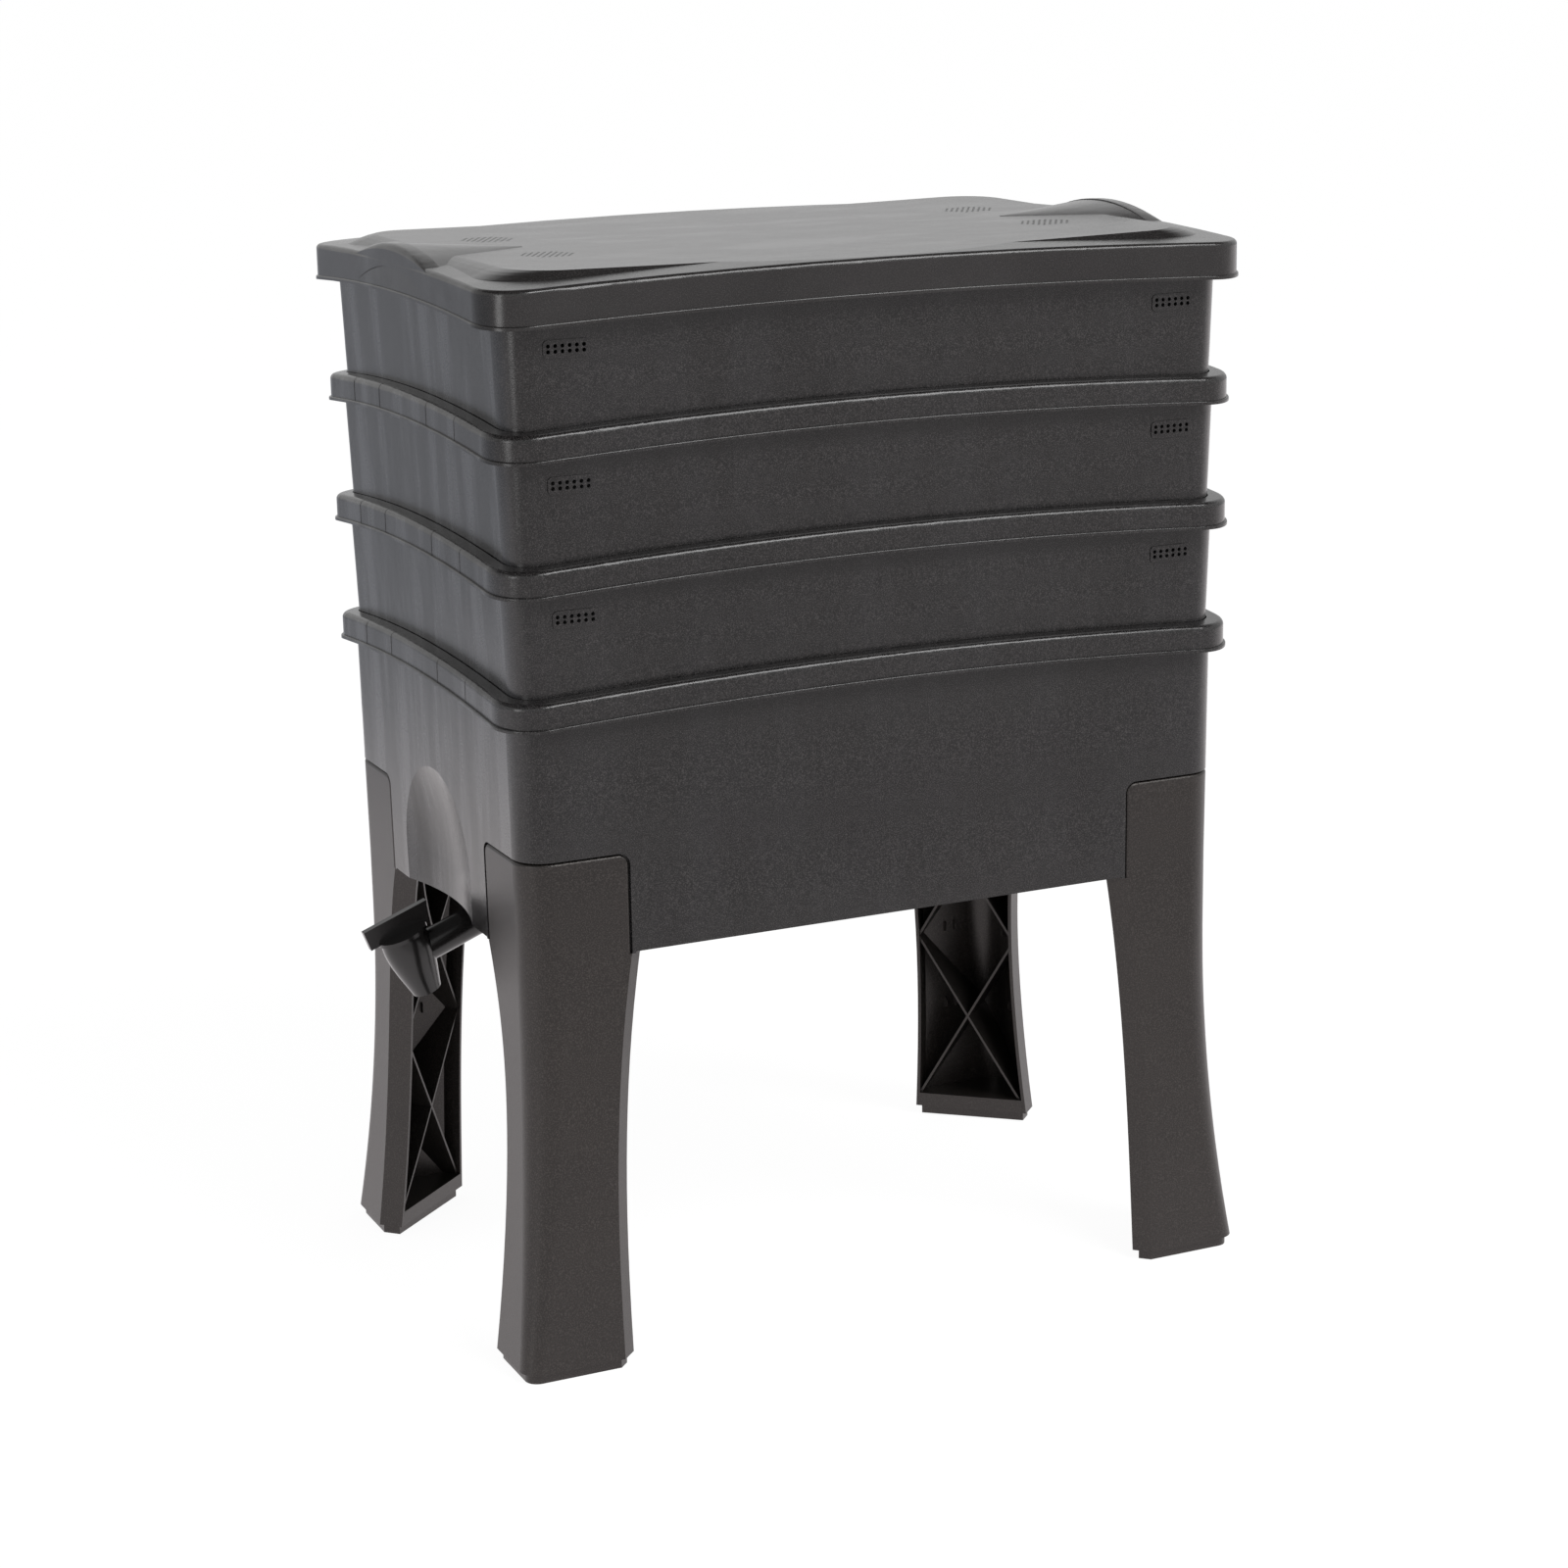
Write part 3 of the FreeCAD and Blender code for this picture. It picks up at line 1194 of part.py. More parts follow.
def make_tap_body():
    body = in_tap_frame(new_body("tap_body"))
    thread_end = NUT_START + " + Sizes.nutThick + Sizes.threadSpare"
    flange = THREAD_START + " - Sizes.flangeThick"
    revolve(body, "Barrel", "Revolution", (
        ("0", "0"), (thread_end, "0"), (thread_end, "Sizes.threadRadius"),
        (THREAD_START, "Sizes.threadRadius"), (THREAD_START, "Sizes.flangeRadius"),
        (flange, "Sizes.flangeRadius"), (flange, "Sizes.barrelRadius"),
        ("0", "Sizes.barrelRadius")), "X_Axis")
    revolve(body, "Chamber", "Revolution", (
        ("0", "-Sizes.spoutLength"), ("Sizes.spoutRadius", "-Sizes.spoutLength"),
        ("Sizes.chamberLowRadius", "Sizes.chamberLowZ"),
        ("Sizes.chamberMidRadius", "Sizes.chamberMidZ"),
        ("Sizes.chamberTopRadius", "Sizes.chamberTop"), ("0", "Sizes.chamberTop")), "Z_Axis")
    past = thread_end + " + Sizes.threadSpare"
    revolve(body, "BarrelBore", "Groove", (
        ("Sizes.plugBore", "0"), (past, "0"), (past, "Sizes.barrelBore"),
        ("Sizes.plugBore", "Sizes.barrelBore")), "X_Axis")
    seat_foot = "-Sizes.plugDepth - Sizes.plugFootGap"
    revolve(body, "PlugSeat", "Groove", (
        ("0", seat_foot), ("Sizes.plugFootRadius + Sizes.plugClearance", seat_foot),
        ("Sizes.plugFootRadius + Sizes.plugClearance", "-Sizes.plugDepth"),
        ("Sizes.plugTopRadius + Sizes.plugClearance", "Sizes.chamberTop"),
        ("0", "Sizes.chamberTop")), "Z_Axis")
    revolve(body, "SpoutBore", "Groove", (
        ("0", "-Sizes.spoutLength"), ("Sizes.spoutBore", "-Sizes.spoutLength"),
        ("Sizes.spoutBore", seat_foot), ("0", seat_foot)), "Z_Axis")
    return body


def make_tap_plug():
    """Turning plug with a cross passage, cover disc and fin lever."""
    body = in_tap_frame(new_body("tap_plug"))
    disc_top = "Sizes.chamberTop + Sizes.discThick"
    revolve(body, "Plug", "Revolution", (
        ("0", "-Sizes.plugDepth"), ("Sizes.plugFootRadius", "-Sizes.plugDepth"),
        ("Sizes.plugTopRadius", "Sizes.chamberTop"), ("Sizes.discRadius", "Sizes.chamberTop"),
        ("Sizes.discRadius", disc_top), ("0", disc_top)), "Z_Axis")
    revolve(body, "PlugOutlet", "Groove", (
        ("0", "-Sizes.plugDepth"), ("Sizes.plugBore", "-Sizes.plugDepth"),
        ("Sizes.plugBore", "0"), ("0", "0")), "Z_Axis")
    inlet = circle_sketch(body, "PlugInlet", "YZ_Plane", "Sizes.plugTopRadius", ("0", "0"), "Sizes.plugBore")
    pocket = body.newObject("PartDesign::Pocket", "PlugInletBore")
    pocket.Profile = inlet
    pocket.setExpression("Length", "Sizes.plugTopRadius")
    fin = new_sketch(body, "Lever", "XZ_Plane")
    sunk = disc_top + " - Sizes.discThick / 2"
    polygon(fin, (
        ("-Sizes.leverHalfLength", sunk), ("Sizes.leverHalfLength - Sizes.leverSlant", sunk),
        ("Sizes.leverHalfLength", disc_top + " + Sizes.leverHeight"),
        ("-Sizes.leverHalfLength", disc_top + " + Sizes.leverHeight")))
    lever = pad(body, fin, "Sizes.leverThick", midplane=True)
    body.Tip = lever
    return body


def make_ring(label, start, thick, radius, sides=0):
    """Washer or nut on the tap's thread."""
    body = in_tap_frame(new_body(label))
    sketch = circle_sketch(
        body, label + "Bore", "YZ_Plane", start, ("0", "0"),
        "Sizes.threadRadius + Sizes.holeClearance")
    if sides:
        corners = []
        for index in range(sides):
            angle = str(FULL_TURN * index / sides)
            corners.append((radius + " * cos(" + angle + ")", radius + " * sin(" + angle + ")"))
        outer = new_sketch(body, label + "Plan", "YZ_Plane", start)
        polygon(outer, corners)
        pad(body, outer, thick)
    else:
        outer = circle_sketch(body, label + "Plan", "YZ_Plane", start, ("0", "0"), radius)
        pad(body, outer, thick)
    bore = body.newObject("PartDesign::Pocket", label + "Hole")
    bore.Profile = sketch
    bore.Midplane = True
    bore.setExpression("Length", "4 * (" + thick + ")")
    body.Tip = bore
    return body


def make_tap():
    return [
        make_tap_body(),
        make_tap_plug(),
        make_ring("tap_outer_washer", THREAD_START, "Sizes.washerThick", "Sizes.washerRadius"),
        make_ring("tap_inner_washer", "Sizes.wallReach + Sizes.sumpSheet",
                  "Sizes.washerThick", "Sizes.washerRadius"),
        make_ring("tap_lock_nut", NUT_START, "Sizes.nutThick", "Sizes.nutRadius", HEX_SIDES)]


parts = make_lid() + make_trays() + make_collector() + make_legs() + make_tap()
doc.recompute()

for item in doc.Objects:
    if "Invalid" in item.State or "Error" in item.State:
        raise RuntimeError(item.Name + " did not build")

os.makedirs("parts", exist_ok=True)
for item in parts:
    shape = item.Shape
    if shape.isNull() or not shape.isValid() or len(shape.Solids) != 1:
        raise RuntimeError(item.Label + " is not one sound solid")
    shape.exportStep(os.path.join("parts", item.Label + ".step"))
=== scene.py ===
import math

import bmesh
import bpy
from mathutils import Matrix, Vector


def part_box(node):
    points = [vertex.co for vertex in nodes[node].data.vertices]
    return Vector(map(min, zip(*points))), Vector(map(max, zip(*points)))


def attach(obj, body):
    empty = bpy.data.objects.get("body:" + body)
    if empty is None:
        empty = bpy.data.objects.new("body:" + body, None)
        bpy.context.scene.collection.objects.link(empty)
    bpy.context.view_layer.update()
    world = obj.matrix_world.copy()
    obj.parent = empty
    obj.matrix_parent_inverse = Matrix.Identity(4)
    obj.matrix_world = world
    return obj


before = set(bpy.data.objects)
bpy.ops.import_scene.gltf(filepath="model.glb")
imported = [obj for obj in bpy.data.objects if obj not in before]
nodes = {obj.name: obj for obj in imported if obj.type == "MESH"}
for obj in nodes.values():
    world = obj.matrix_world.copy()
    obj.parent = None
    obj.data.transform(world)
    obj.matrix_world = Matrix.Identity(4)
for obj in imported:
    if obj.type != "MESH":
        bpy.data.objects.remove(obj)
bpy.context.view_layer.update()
print("frame loaded:", len(nodes), "parts")

# camera: worked out from the rims, the feet and the tips of the lid in the picture
view = {
    "place": (-1.068702, -2.406073, 1.061495),
    "turn": 24.4733,  # degrees from +Y towards +X
    "dip": 14.6246,
    "lean": -1.09466,
    "lens": 79.62,
    "film": 36.0,
    "nearest": 0.05,
    "farthest": 200.0,
}


def setCamera():
    data = bpy.data.cameras.new("studioCamera")
    data.lens = view["lens"]
    data.sensor_width = view["film"]
    data.sensor_fit = "HORIZONTAL"
    data.clip_start = view["nearest"]
    data.clip_end = view["farthest"]
    camera = bpy.data.objects.new("studioCamera", data)
    bpy.context.scene.collection.objects.link(camera)
    yaw = Matrix.Rotation(math.radians(-view["turn"]), 4, "Z")
    pitch = Matrix.Rotation(math.radians(90 - view["dip"]), 4, "X")
    roll = Matrix.Rotation(math.radians(view["lean"]), 4, "Z")
    camera.matrix_world = Matrix.Translation(view["place"]) @ yaw @ pitch @ roll
    bpy.context.scene.camera = camera


class Wire:
    # one value inside a node tree; arithmetic with it adds Math nodes
    def __init__(self, graph, socket):
        self.graph = graph
        self.socket = socket

    def maths(self, operation, *values):
        return self.graph.node("ShaderNodeMath", {"operation": operation}, dict(enumerate(values)))

    def __add__(self, other):
        return self.maths("ADD", self, other)

    def __radd__(self, other):
        return self.maths("ADD", other, self)

    def __sub__(self, other):
        return self.maths("SUBTRACT", self, other)

    def __rsub__(self, other):
        return self.maths("SUBTRACT", other, self)

    def __mul__(self, other):
        return self.maths("MULTIPLY", self, other)

    def __rmul__(self, other):
        return self.maths("MULTIPLY", other, self)

    def __abs__(self):
        return self.maths("ABSOLUTE", self)

    def rise(self, low, high):
        # 0 below low, 1 above high, smooth between
        return self.graph.node(
            "ShaderNodeMapRange",
            {"interpolation_type": "SMOOTHSTEP"},
            {"Value": self, "From Min": low, "From Max": high},
        )


class Graph:
    # a node tree of a material or of the world
    def __init__(self, tree):
        self.tree = tree

    def node(self, kind, settings, sockets, output=0):
        made = self.tree.nodes.new(kind)
        for key, value in settings.items():
            setattr(made, key, value)
        for key, value in sockets.items():
            if isinstance(value, Wire):
                self.tree.links.new(value.socket, made.inputs[key])
            else:
                made.inputs[key].default_value = value
        return Wire(self, made.outputs[output])

    def parts(self, vector):
        split = self.node("ShaderNodeSeparateXYZ", {}, {0: vector})
        return [Wire(self, socket) for socket in split.socket.node.outputs]

    def seen(self):
        # the camera ray alone, and 1 for camera, mirror and glass rays together
        path = self.node("ShaderNodeLightPath", {}, {}).socket.node.outputs
        direct = Wire(self, path["Is Camera Ray"])
        mirrored = Wire(self, path["Is Glossy Ray"]) + Wire(self, path["Is Transmission Ray"])
        return direct, direct.maths("MINIMUM", direct + mirrored, 1.0)


class Finish(Graph):
    # a moulded surface: a Principled shader and the nodes that feed it
    def __init__(self, name, settings):
        self.material = bpy.data.materials.new(name)
        self.material.use_nodes = True
        super().__init__(self.material.node_tree)
        self.shader = self.tree.nodes["Principled BSDF"]
        for socket, value in settings.items():
            self.shader.inputs[socket].default_value = value
        self.place = self.node("ShaderNodeTexCoord", {}, {}, "Object")
        self.x, self.y = self.parts(self.place)[:2]
        # how far the surface faces along X, -1 to 1
        self.facing = self.parts(self.node("ShaderNodeTexCoord", {}, {}, "Normal"))[0]

    def noise(self, scale, detail, rough, stretch=(1, 1, 1)):
        spread = self.node("ShaderNodeMapping", {}, {"Vector": self.place, "Scale": stretch})
        sockets = {"Vector": spread, "Scale": scale, "Detail": detail, "Roughness": rough}
        return self.node("ShaderNodeTexNoise", {}, sockets)

    def blend(self, amount, first, second):
        return self.node("ShaderNodeMix", {"data_type": "RGBA"}, {0: amount, 6: first, 7: second}, 2)

    def feed(self, socket, wire):
        self.tree.links.new(wire.socket, self.shader.inputs[socket])

    def relief(self, height, depth):
        self.feed("Normal", self.node("ShaderNodeBump", {}, {"Height": height, "Distance": depth}))


def colour(*channels):
    # colour as read from a picture, 0 to 255, made linear
    linear = [c / 255 / 12.92 if c < 10.3 else ((c / 255 + 0.055) / 1.055) ** 2.4 for c in channels]
    return tuple(linear) + (1.0,)


# In the finishes below, a noise is given by its scale, detail and roughness, and its stretch if it has
# one. An edge says where a noise starts to show and where it shows in full.

# trays and collector: charcoal with a fine spark grain and flow streaks from moulding; the streaks are
# lighter and bluer mostly on the short ends, which is a painted cool sheen where those faces catch the
# light
trayFinish = {
    "dark": colour(13, 12, 12),
    "light": colour(22, 21, 21),
    # lighter, bluer streak colour: flow streaks, and a painted cool sheen on the short ends
    "streakAndEndSheen": colour(30, 31, 35),
    "speck": colour(98, 94, 94),
    "cloudNoise": (7.0, 4.0, 0.6),
    "streakNoise": (26.0, 4.0, 0.62, (0.7, 1.0, 0.12)),
    "speckNoise": (1150.0, 1.0, 0.5),
    "mottleNoise": (210.0, 3.0, 0.6),
    "grainNoise": (1100.0, 2.0, 0.6),
    "waveNoise": (34.0, 2.0, 0.5),
    "endEdge": (0.7, 0.98),
    "streakEdge": (0.42, 0.66),
    "cloudEdge": (0.3, 0.7),
    "speckEdge": (0.4, 0.8),
    "mottleEdge": (0.4, 0.8),
    "endSheenAndStreakShares": (0.8, 0.2),  # a painted cool sheen on the short ends alone, and flow streaks everywhere
    "speckShare": 0.4,
    "mottleShare": 0.08,
    "coat": 0.4,
    "coatRough": 0.22,
    "rough": (0.16, 0.1, 0.08),  # even, with the specks, with the streaks and the painted end sheen
    "relief": (1.4, 4.0),  # mottle and wave, as multiples of the grain
    "depth": 0.00004,
}


def makeTrayFinish():
    look = trayFinish
    plastic = Finish("moulded_charcoal", {"Coat Roughness": look["coatRough"]})
    cloud = plastic.noise(*look["cloudNoise"])
    streak = plastic.noise(*look["streakNoise"])
    paintedSheenOnEnds, everywhere = look["endSheenAndStreakShares"]
    # painted cool sheen: the lighter, bluer streak colour is pushed onto faces turned along X, the short
    # ends, as light falls on them; the smaller share everywhere is the flow streaks
    side = abs(plastic.facing).rise(*look["endEdge"])
    streakAndEndSheen = streak.rise(*look["streakEdge"]) * (side * paintedSheenOnEnds + everywhere)
    plastic.feed("Coat Weight", streakAndEndSheen * look["coat"])
    speck = plastic.noise(*look["speckNoise"])
    mottle = plastic.noise(*look["mottleNoise"])
    base = plastic.blend(cloud.rise(*look["cloudEdge"]), look["dark"], look["light"])
    base = plastic.blend(streakAndEndSheen, base, look["streakAndEndSheen"])
    spread = speck.rise(*look["speckEdge"]) * look["speckShare"]
    spread = spread + mottle.rise(*look["mottleEdge"]) * look["mottleShare"]
    plastic.feed("Base Color", plastic.blend(spread, base, look["speck"]))
    even, withSpeck, withBloom = look["rough"]
    plastic.feed("Roughness", even + speck * withSpeck + streakAndEndSheen * withBloom)
    grain = plastic.noise(*look["grainNoise"])
    wave = plastic.noise(*look["waveNoise"])
    mottleRelief, waveRelief = look["relief"]
    plastic.relief(grain + speck + mottle * mottleRelief + wave * waveRelief, look["depth"])
    return plastic.material


# lid: the same resin, smoother, with a satin top
lidFinish = {
    "dark": colour(24, 22, 22),
    "light": colour(34, 32, 32),
    "speck": colour(78, 75, 74),
    "cloudNoise": (9.0, 4.0, 0.6),
    "smearNoise": (16.0, 4.0, 0.6, (0.35, 1.0, 1.0)),
    "speckNoise": (1150.0, 1.0, 0.5),
    "grainNoise": (1300.0, 2.0, 0.6),
    "waveNoise": (22.0, 3.0, 0.55),
    "smearEdge": (0.45, 0.7),
    "cloudEdge": (0.3, 0.72),
    "speckEdge": (0.4, 0.85),
    "speckShare": 0.4,
    "coat": 0.25,
    "coatRough": 0.15,
    "rough": (0.13, 0.12, 0.06),  # even, with the smears, with the specks
    "waveRelief": 18.0,
    "depth": 0.00003,
}


def makeLidFinish():
    look = lidFinish
    plastic = Finish("lid_charcoal", {"Coat Roughness": look["coatRough"]})
    cloud = plastic.noise(*look["cloudNoise"])
    smear = plastic.noise(*look["smearNoise"])
    plastic.feed("Coat Weight", smear.rise(*look["smearEdge"]) * look["coat"])
    speck = plastic.noise(*look["speckNoise"])
    base = plastic.blend(cloud.rise(*look["cloudEdge"]), look["dark"], look["light"])
    spread = speck.rise(*look["speckEdge"]) * look["speckShare"]
    plastic.feed("Base Color", plastic.blend(spread, base, look["speck"]))
    even, withSmear, withSpeck = look["rough"]
    plastic.feed("Roughness", even + smear * withSmear + speck * withSpeck)
    grain = plastic.noise(*look["grainNoise"])
    wave = plastic.noise(*look["waveNoise"])
    plastic.relief(grain + speck + wave * look["waveRelief"], look["depth"])
    return plastic.material


# legs: a coarser leather-like grain and a warmer tone
legFinish = {
    "dark": colour(21, 19, 18),
    "light": colour(29, 26, 24),
    "fleck": colour(92, 87, 84),
    "shine": (1.0, 0.95, 0.93, 1),
    "cloudNoise": (8.0, 4.0, 0.6),
    "mottleNoise": (1000.0, 1.0, 0.5),
    "grainNoise": (900.0, 3.0, 0.65),
    "cloudEdge": (0.3, 0.7),
    "mottleEdge": (0.4, 0.8),
    "mottleShare": 0.35,
    "rough": (0.28, 0.16),  # even, and with the mottle
    "mottleRelief": 1.8,
    "depth": 0.00007,
}


def makeLegFinish():
    look = legFinish
    plastic = Finish("leg_charcoal", {"Specular Tint": look["shine"]})
    cloud = plastic.noise(*look["cloudNoise"])
    mottle = plastic.noise(*look["mottleNoise"])
    base = plastic.blend(cloud.rise(*look["cloudEdge"]), look["dark"], look["light"])
    spread = mottle.rise(*look["mottleEdge"]) * look["mottleShare"]
    plastic.feed("Base Color", plastic.blend(spread, base, look["fleck"]))
    even, withMottle = look["rough"]
    plastic.feed("Roughness", even + mottle * withMottle)
    grain = plastic.noise(*look["grainNoise"])
    plastic.relief(grain + mottle * look["mottleRelief"], look["depth"])
    return plastic.material


# tap: polished black resin
tapFinish = {
    "dark": colour(20, 19, 19),
    "light": colour(30, 28, 28),
    "cloudNoise": (60.0, 3.0, 0.55),
    "grainNoise": (700.0, 2.0, 0.5),
    "rough": (0.15, 0.12),
    "depth": 0.00002,
}

# washers: dull black rubber
sealFinish = {
    "dark": colour(18, 18, 18),
    "light": colour(30, 30, 30),
    "cloudNoise": (150.0, 3.0, 0.6),
    "grainNoise": (1200.0, 2.0, 0.5),
    "rough": (0.62, 0.2),
    "depth": 0.00003,
}


def makeCloudyFinish(name, look):
    # one cloud noise turns both the tone and the roughness
    finish = Finish(name, {})
    cloud = finish.noise(*look["cloudNoise"])
    finish.feed("Base Color", finish.blend(cloud, look["dark"], look["light"]))
    even, withCloud = look["rough"]
    finish.feed("Roughness", even + cloud * withCloud)
    finish.relief(finish.noise(*look["grainNoise"]), look["depth"])
    return finish.material


def dress(name, material):
    for holder in nodes[name].material_slots:
        holder.material = material


mergeWithin = 0.000005


def gather(mould, part):
    # moves one bmesh into another
    carrier = bpy.data.meshes.new("carrier")
    part.to_mesh(carrier)
    part.free()
    mould.from_mesh(carrier)
    bpy.data.meshes.remove(carrier)


def pointsOf(grown):
    return [item for item in grown["geom"] if isinstance(item, bmesh.types.BMVert)]


def makePiece(name, mould, material, body):
    # turns a bmesh into an object that rides on a body
    bmesh.ops.remove_doubles(mould, verts=mould.verts, dist=mergeWithin)
    bmesh.ops.recalc_face_normals(mould, faces=mould.faces)
    data = bpy.data.meshes.new(name)
    mould.to_mesh(data)
    mould.free()
    data.materials.append(material)
    piece = bpy.data.objects.new(name, data)
    bpy.context.scene.collection.objects.link(piece)
    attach(piece, body)
    return piece


# where the middle of the legs' footprint lies in the row frame
middleX = sum(corner.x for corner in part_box("working_tray_bottom")) / 2

# what the rims of the collector and the trays share; a crease is where a rim starts at the corners
rim = {
    "halfLength": 0.2963,
    "halfWidth": 0.2006,
    "height": 0.0173,
    "shoulder": 0.0042,
    "archShort": 0.0102,
    "lowestCrease": 0.4892,
    "pitch": 0.0943,
    "bodies": ["stand", "bottom_tray", "middle_tray", "top_tray"],
}


# lines left on the short sides of every rim by the joints of the mould
mouldLine = {
    "places": (-0.1125, -0.0525, 0.0525, 0.1125),
    "radius": 0.0006,
    "proud": 0.0003,
    "sides": 10,
    "turns": 7,
}


def addMouldLines(body, crease, material):
    lines = bmesh.new()
    for y in mouldLine["places"]:
        lift = crease + rim["archShort"] * (1 - (y / rim["halfWidth"]) ** 2)
        for sign in (-1, 1):
            line = bmesh.new()
            ring = bmesh.ops.create_circle(
                line, cap_ends=True, segments=mouldLine["sides"], radius=mouldLine["radius"])
            bmesh.ops.translate(
                line, verts=ring["verts"], vec=(mouldLine["proud"] - mouldLine["radius"], 0, 0))
            straight = rim["height"] - rim["shoulder"]
            grown = bmesh.ops.extrude_face_region(line, geom=line.faces[:], use_keep_orig=True)
            tip = pointsOf(grown)
            cap = [item for item in grown["geom"] if isinstance(item, bmesh.types.BMFace)]
            bmesh.ops.translate(line, verts=tip, vec=(0, 0, straight))
            bmesh.ops.spin(
                line, geom=cap, cent=(-rim["shoulder"], 0, straight), axis=(0, -1, 0),
                angle=math.radians(90), steps=mouldLine["turns"])
            bmesh.ops.delete(line, geom=[f for f in cap if f.is_valid], context="FACES_ONLY")
            if sign < 0:
                bmesh.ops.rotate(line, verts=line.verts, matrix=Matrix.Rotation(math.pi, 3, "Z"))
            bmesh.ops.translate(
                line, verts=line.verts, vec=(middleX + sign * rim["halfLength"], y, lift))
            gather(lines, line)
    makePiece("mould_lines_" + body, lines, material, body)


# low pads around the air holes of the working trays
airPad = {
    "centre": (0.2403, -0.0182),
    "size": (0.0345, 0.0128),
    "corner": 0.0035,
    "cornerSteps": 5,
    "proud": 0.0008,
    "sunk": 0.0004,
    "hole": 0.00145,
    "holeSides": 14,
    "pitch": (0.0053, 0.0039),
    "count": (6, 2),
    "holeMiddle": (0.24, -0.018),
    "wall": 0.1905,
    "lean": 5.2 / 150,  # how much the wall leans in per metre of depth
}


def addAirPads(body, crease, material):
    pads = bmesh.new()
    length, width = airPad["size"]
    columns, rows = airPad["count"]
    pitchAcross, pitchUp = airPad["pitch"]
    middle, drop = airPad["holeMiddle"]
    stand = Matrix.Rotation(math.radians(90) + math.atan(airPad["lean"]), 3, "X")
    for end in (-1, 1):
        for side in (-1, 1):
            pad = bmesh.new()
            bmesh.ops.create_grid(pad, x_segments=1, y_segments=1, size=0.5)
            bmesh.ops.scale(pad, verts=pad.verts, vec=(length, width, 1))
            bmesh.ops.bevel(
                pad, geom=pad.verts[:], offset=airPad["corner"], affect="VERTICES",
                segments=airPad["cornerSteps"], profile=0.5, material=-1)
            bmesh.ops.translate(
                pad, verts=pad.verts, vec=(airPad["centre"][0] - middle, airPad["centre"][1] - drop, 0))
            bmesh.ops.delete(pad, geom=pad.faces[:], context="FACES_ONLY")
            for column in range(columns):
                for row in range(rows):
                    across = (column - (columns - 1) / 2) * pitchAcross
                    up = (row - (rows - 1) / 2) * pitchUp
                    bmesh.ops.create_circle(
                        pad, cap_ends=False, segments=airPad["holeSides"], radius=airPad["hole"],
                        matrix=Matrix.Translation((across, up, 0)))
            bmesh.ops.triangle_fill(pad, edges=pad.edges[:], use_beauty=True)
            grown = bmesh.ops.extrude_face_region(pad, geom=pad.faces[:], use_keep_orig=True)
            bmesh.ops.translate(pad, verts=pointsOf(grown), vec=(0, 0, airPad["proud"] + airPad["sunk"]))
            bmesh.ops.translate(pad, verts=pad.verts, vec=(0, 0, -airPad["sunk"]))
            # stand it up on the leaning wall, local +Z facing out
            bmesh.ops.rotate(pad, verts=pad.verts, matrix=stand)
            if side > 0:
                bmesh.ops.rotate(pad, verts=pad.verts, matrix=Matrix.Rotation(math.pi, 3, "Z"))
            bmesh.ops.translate(
                pad, verts=pad.verts,
                vec=(middleX + end * middle,
                     side * (airPad["wall"] + airPad["lean"] * drop), crease + drop))
            gather(pads, pad)
    makePiece("air_pads_" + body, pads, material, body)


# short upright ribs low down inside the legs, on the two outer walls
legRib = {
    # across from the middle, height, distance of the wall's inner face from the middle
    "long": [
        (0.2416, 0.170, 0.1875), (0.2505, 0.170, 0.1875),
        (0.2435, 0.099, 0.1907), (0.2533, 0.099, 0.1907)],
    "short": [(0.154, 0.168, 0.2840), (0.1514, 0.100, 0.2890)],
    "half": 0.004,
    "thick": 0.0006,
    "tip": 0.00035,
    "proud": 0.004,
    "sunk": 0.0012,
    "flare": 0.001,  # how much longer each end is where it meets the wall
    "taper": 0.6,  # share of the height and length that stays at the free corners
    "bevel": 0.0002,
}


def makeFin(outline):
    # its side outline lies in Y and Z, and it is thinner towards its free edge
    fin = bmesh.new()
    thick, tip = legRib["thick"], legRib["tip"]
    fin.faces.new([fin.verts.new((-(tip if y < 0 else thick), y, z)) for y, z in outline])
    grown = bmesh.ops.extrude_face_region(fin, geom=fin.faces[:], use_keep_orig=True)
    for point in pointsOf(grown):
        point.co.x = -point.co.x
    bmesh.ops.bevel(
        fin, geom=fin.edges[:], offset=legRib["bevel"], affect="EDGES", segments=2,
        profile=0.5, material=-1)
    return fin


def addLegRibs(material):
    ribs = bmesh.new()
    high, tall, taper = legRib["proud"], legRib["half"], legRib["taper"]
    foot = tall + legRib["flare"]
    outline = [
        (legRib["sunk"], -foot), (-high * taper, -tall), (-high, -tall * taper),
        (-high, tall * taper), (-high * taper, tall), (legRib["sunk"], foot)]
    places = [(x, z, wall, 0) for x, z, wall in legRib["long"]]
    places += [(y, z, wall, 1) for y, z, wall in legRib["short"]]
    for across, z, wall, end in places:
        for sx in (-1, 1):
            for sy in (-1, 1):
                fin = makeFin(outline)
                if end:
                    turn = Matrix.Rotation(math.radians(-90 * sx), 3, "Z")
                    at = (middleX + sx * wall, sy * across, z)
                else:
                    turn = Matrix.Rotation(math.radians(90 - 90 * sy), 3, "Z")
                    at = (middleX + sx * across, sy * wall, z)
                bmesh.ops.rotate(fin, verts=fin.verts, matrix=turn)
                bmesh.ops.translate(fin, verts=fin.verts, vec=at)
                gather(ribs, fin)
    makePiece("leg_inner_ribs", ribs, material, "stand")


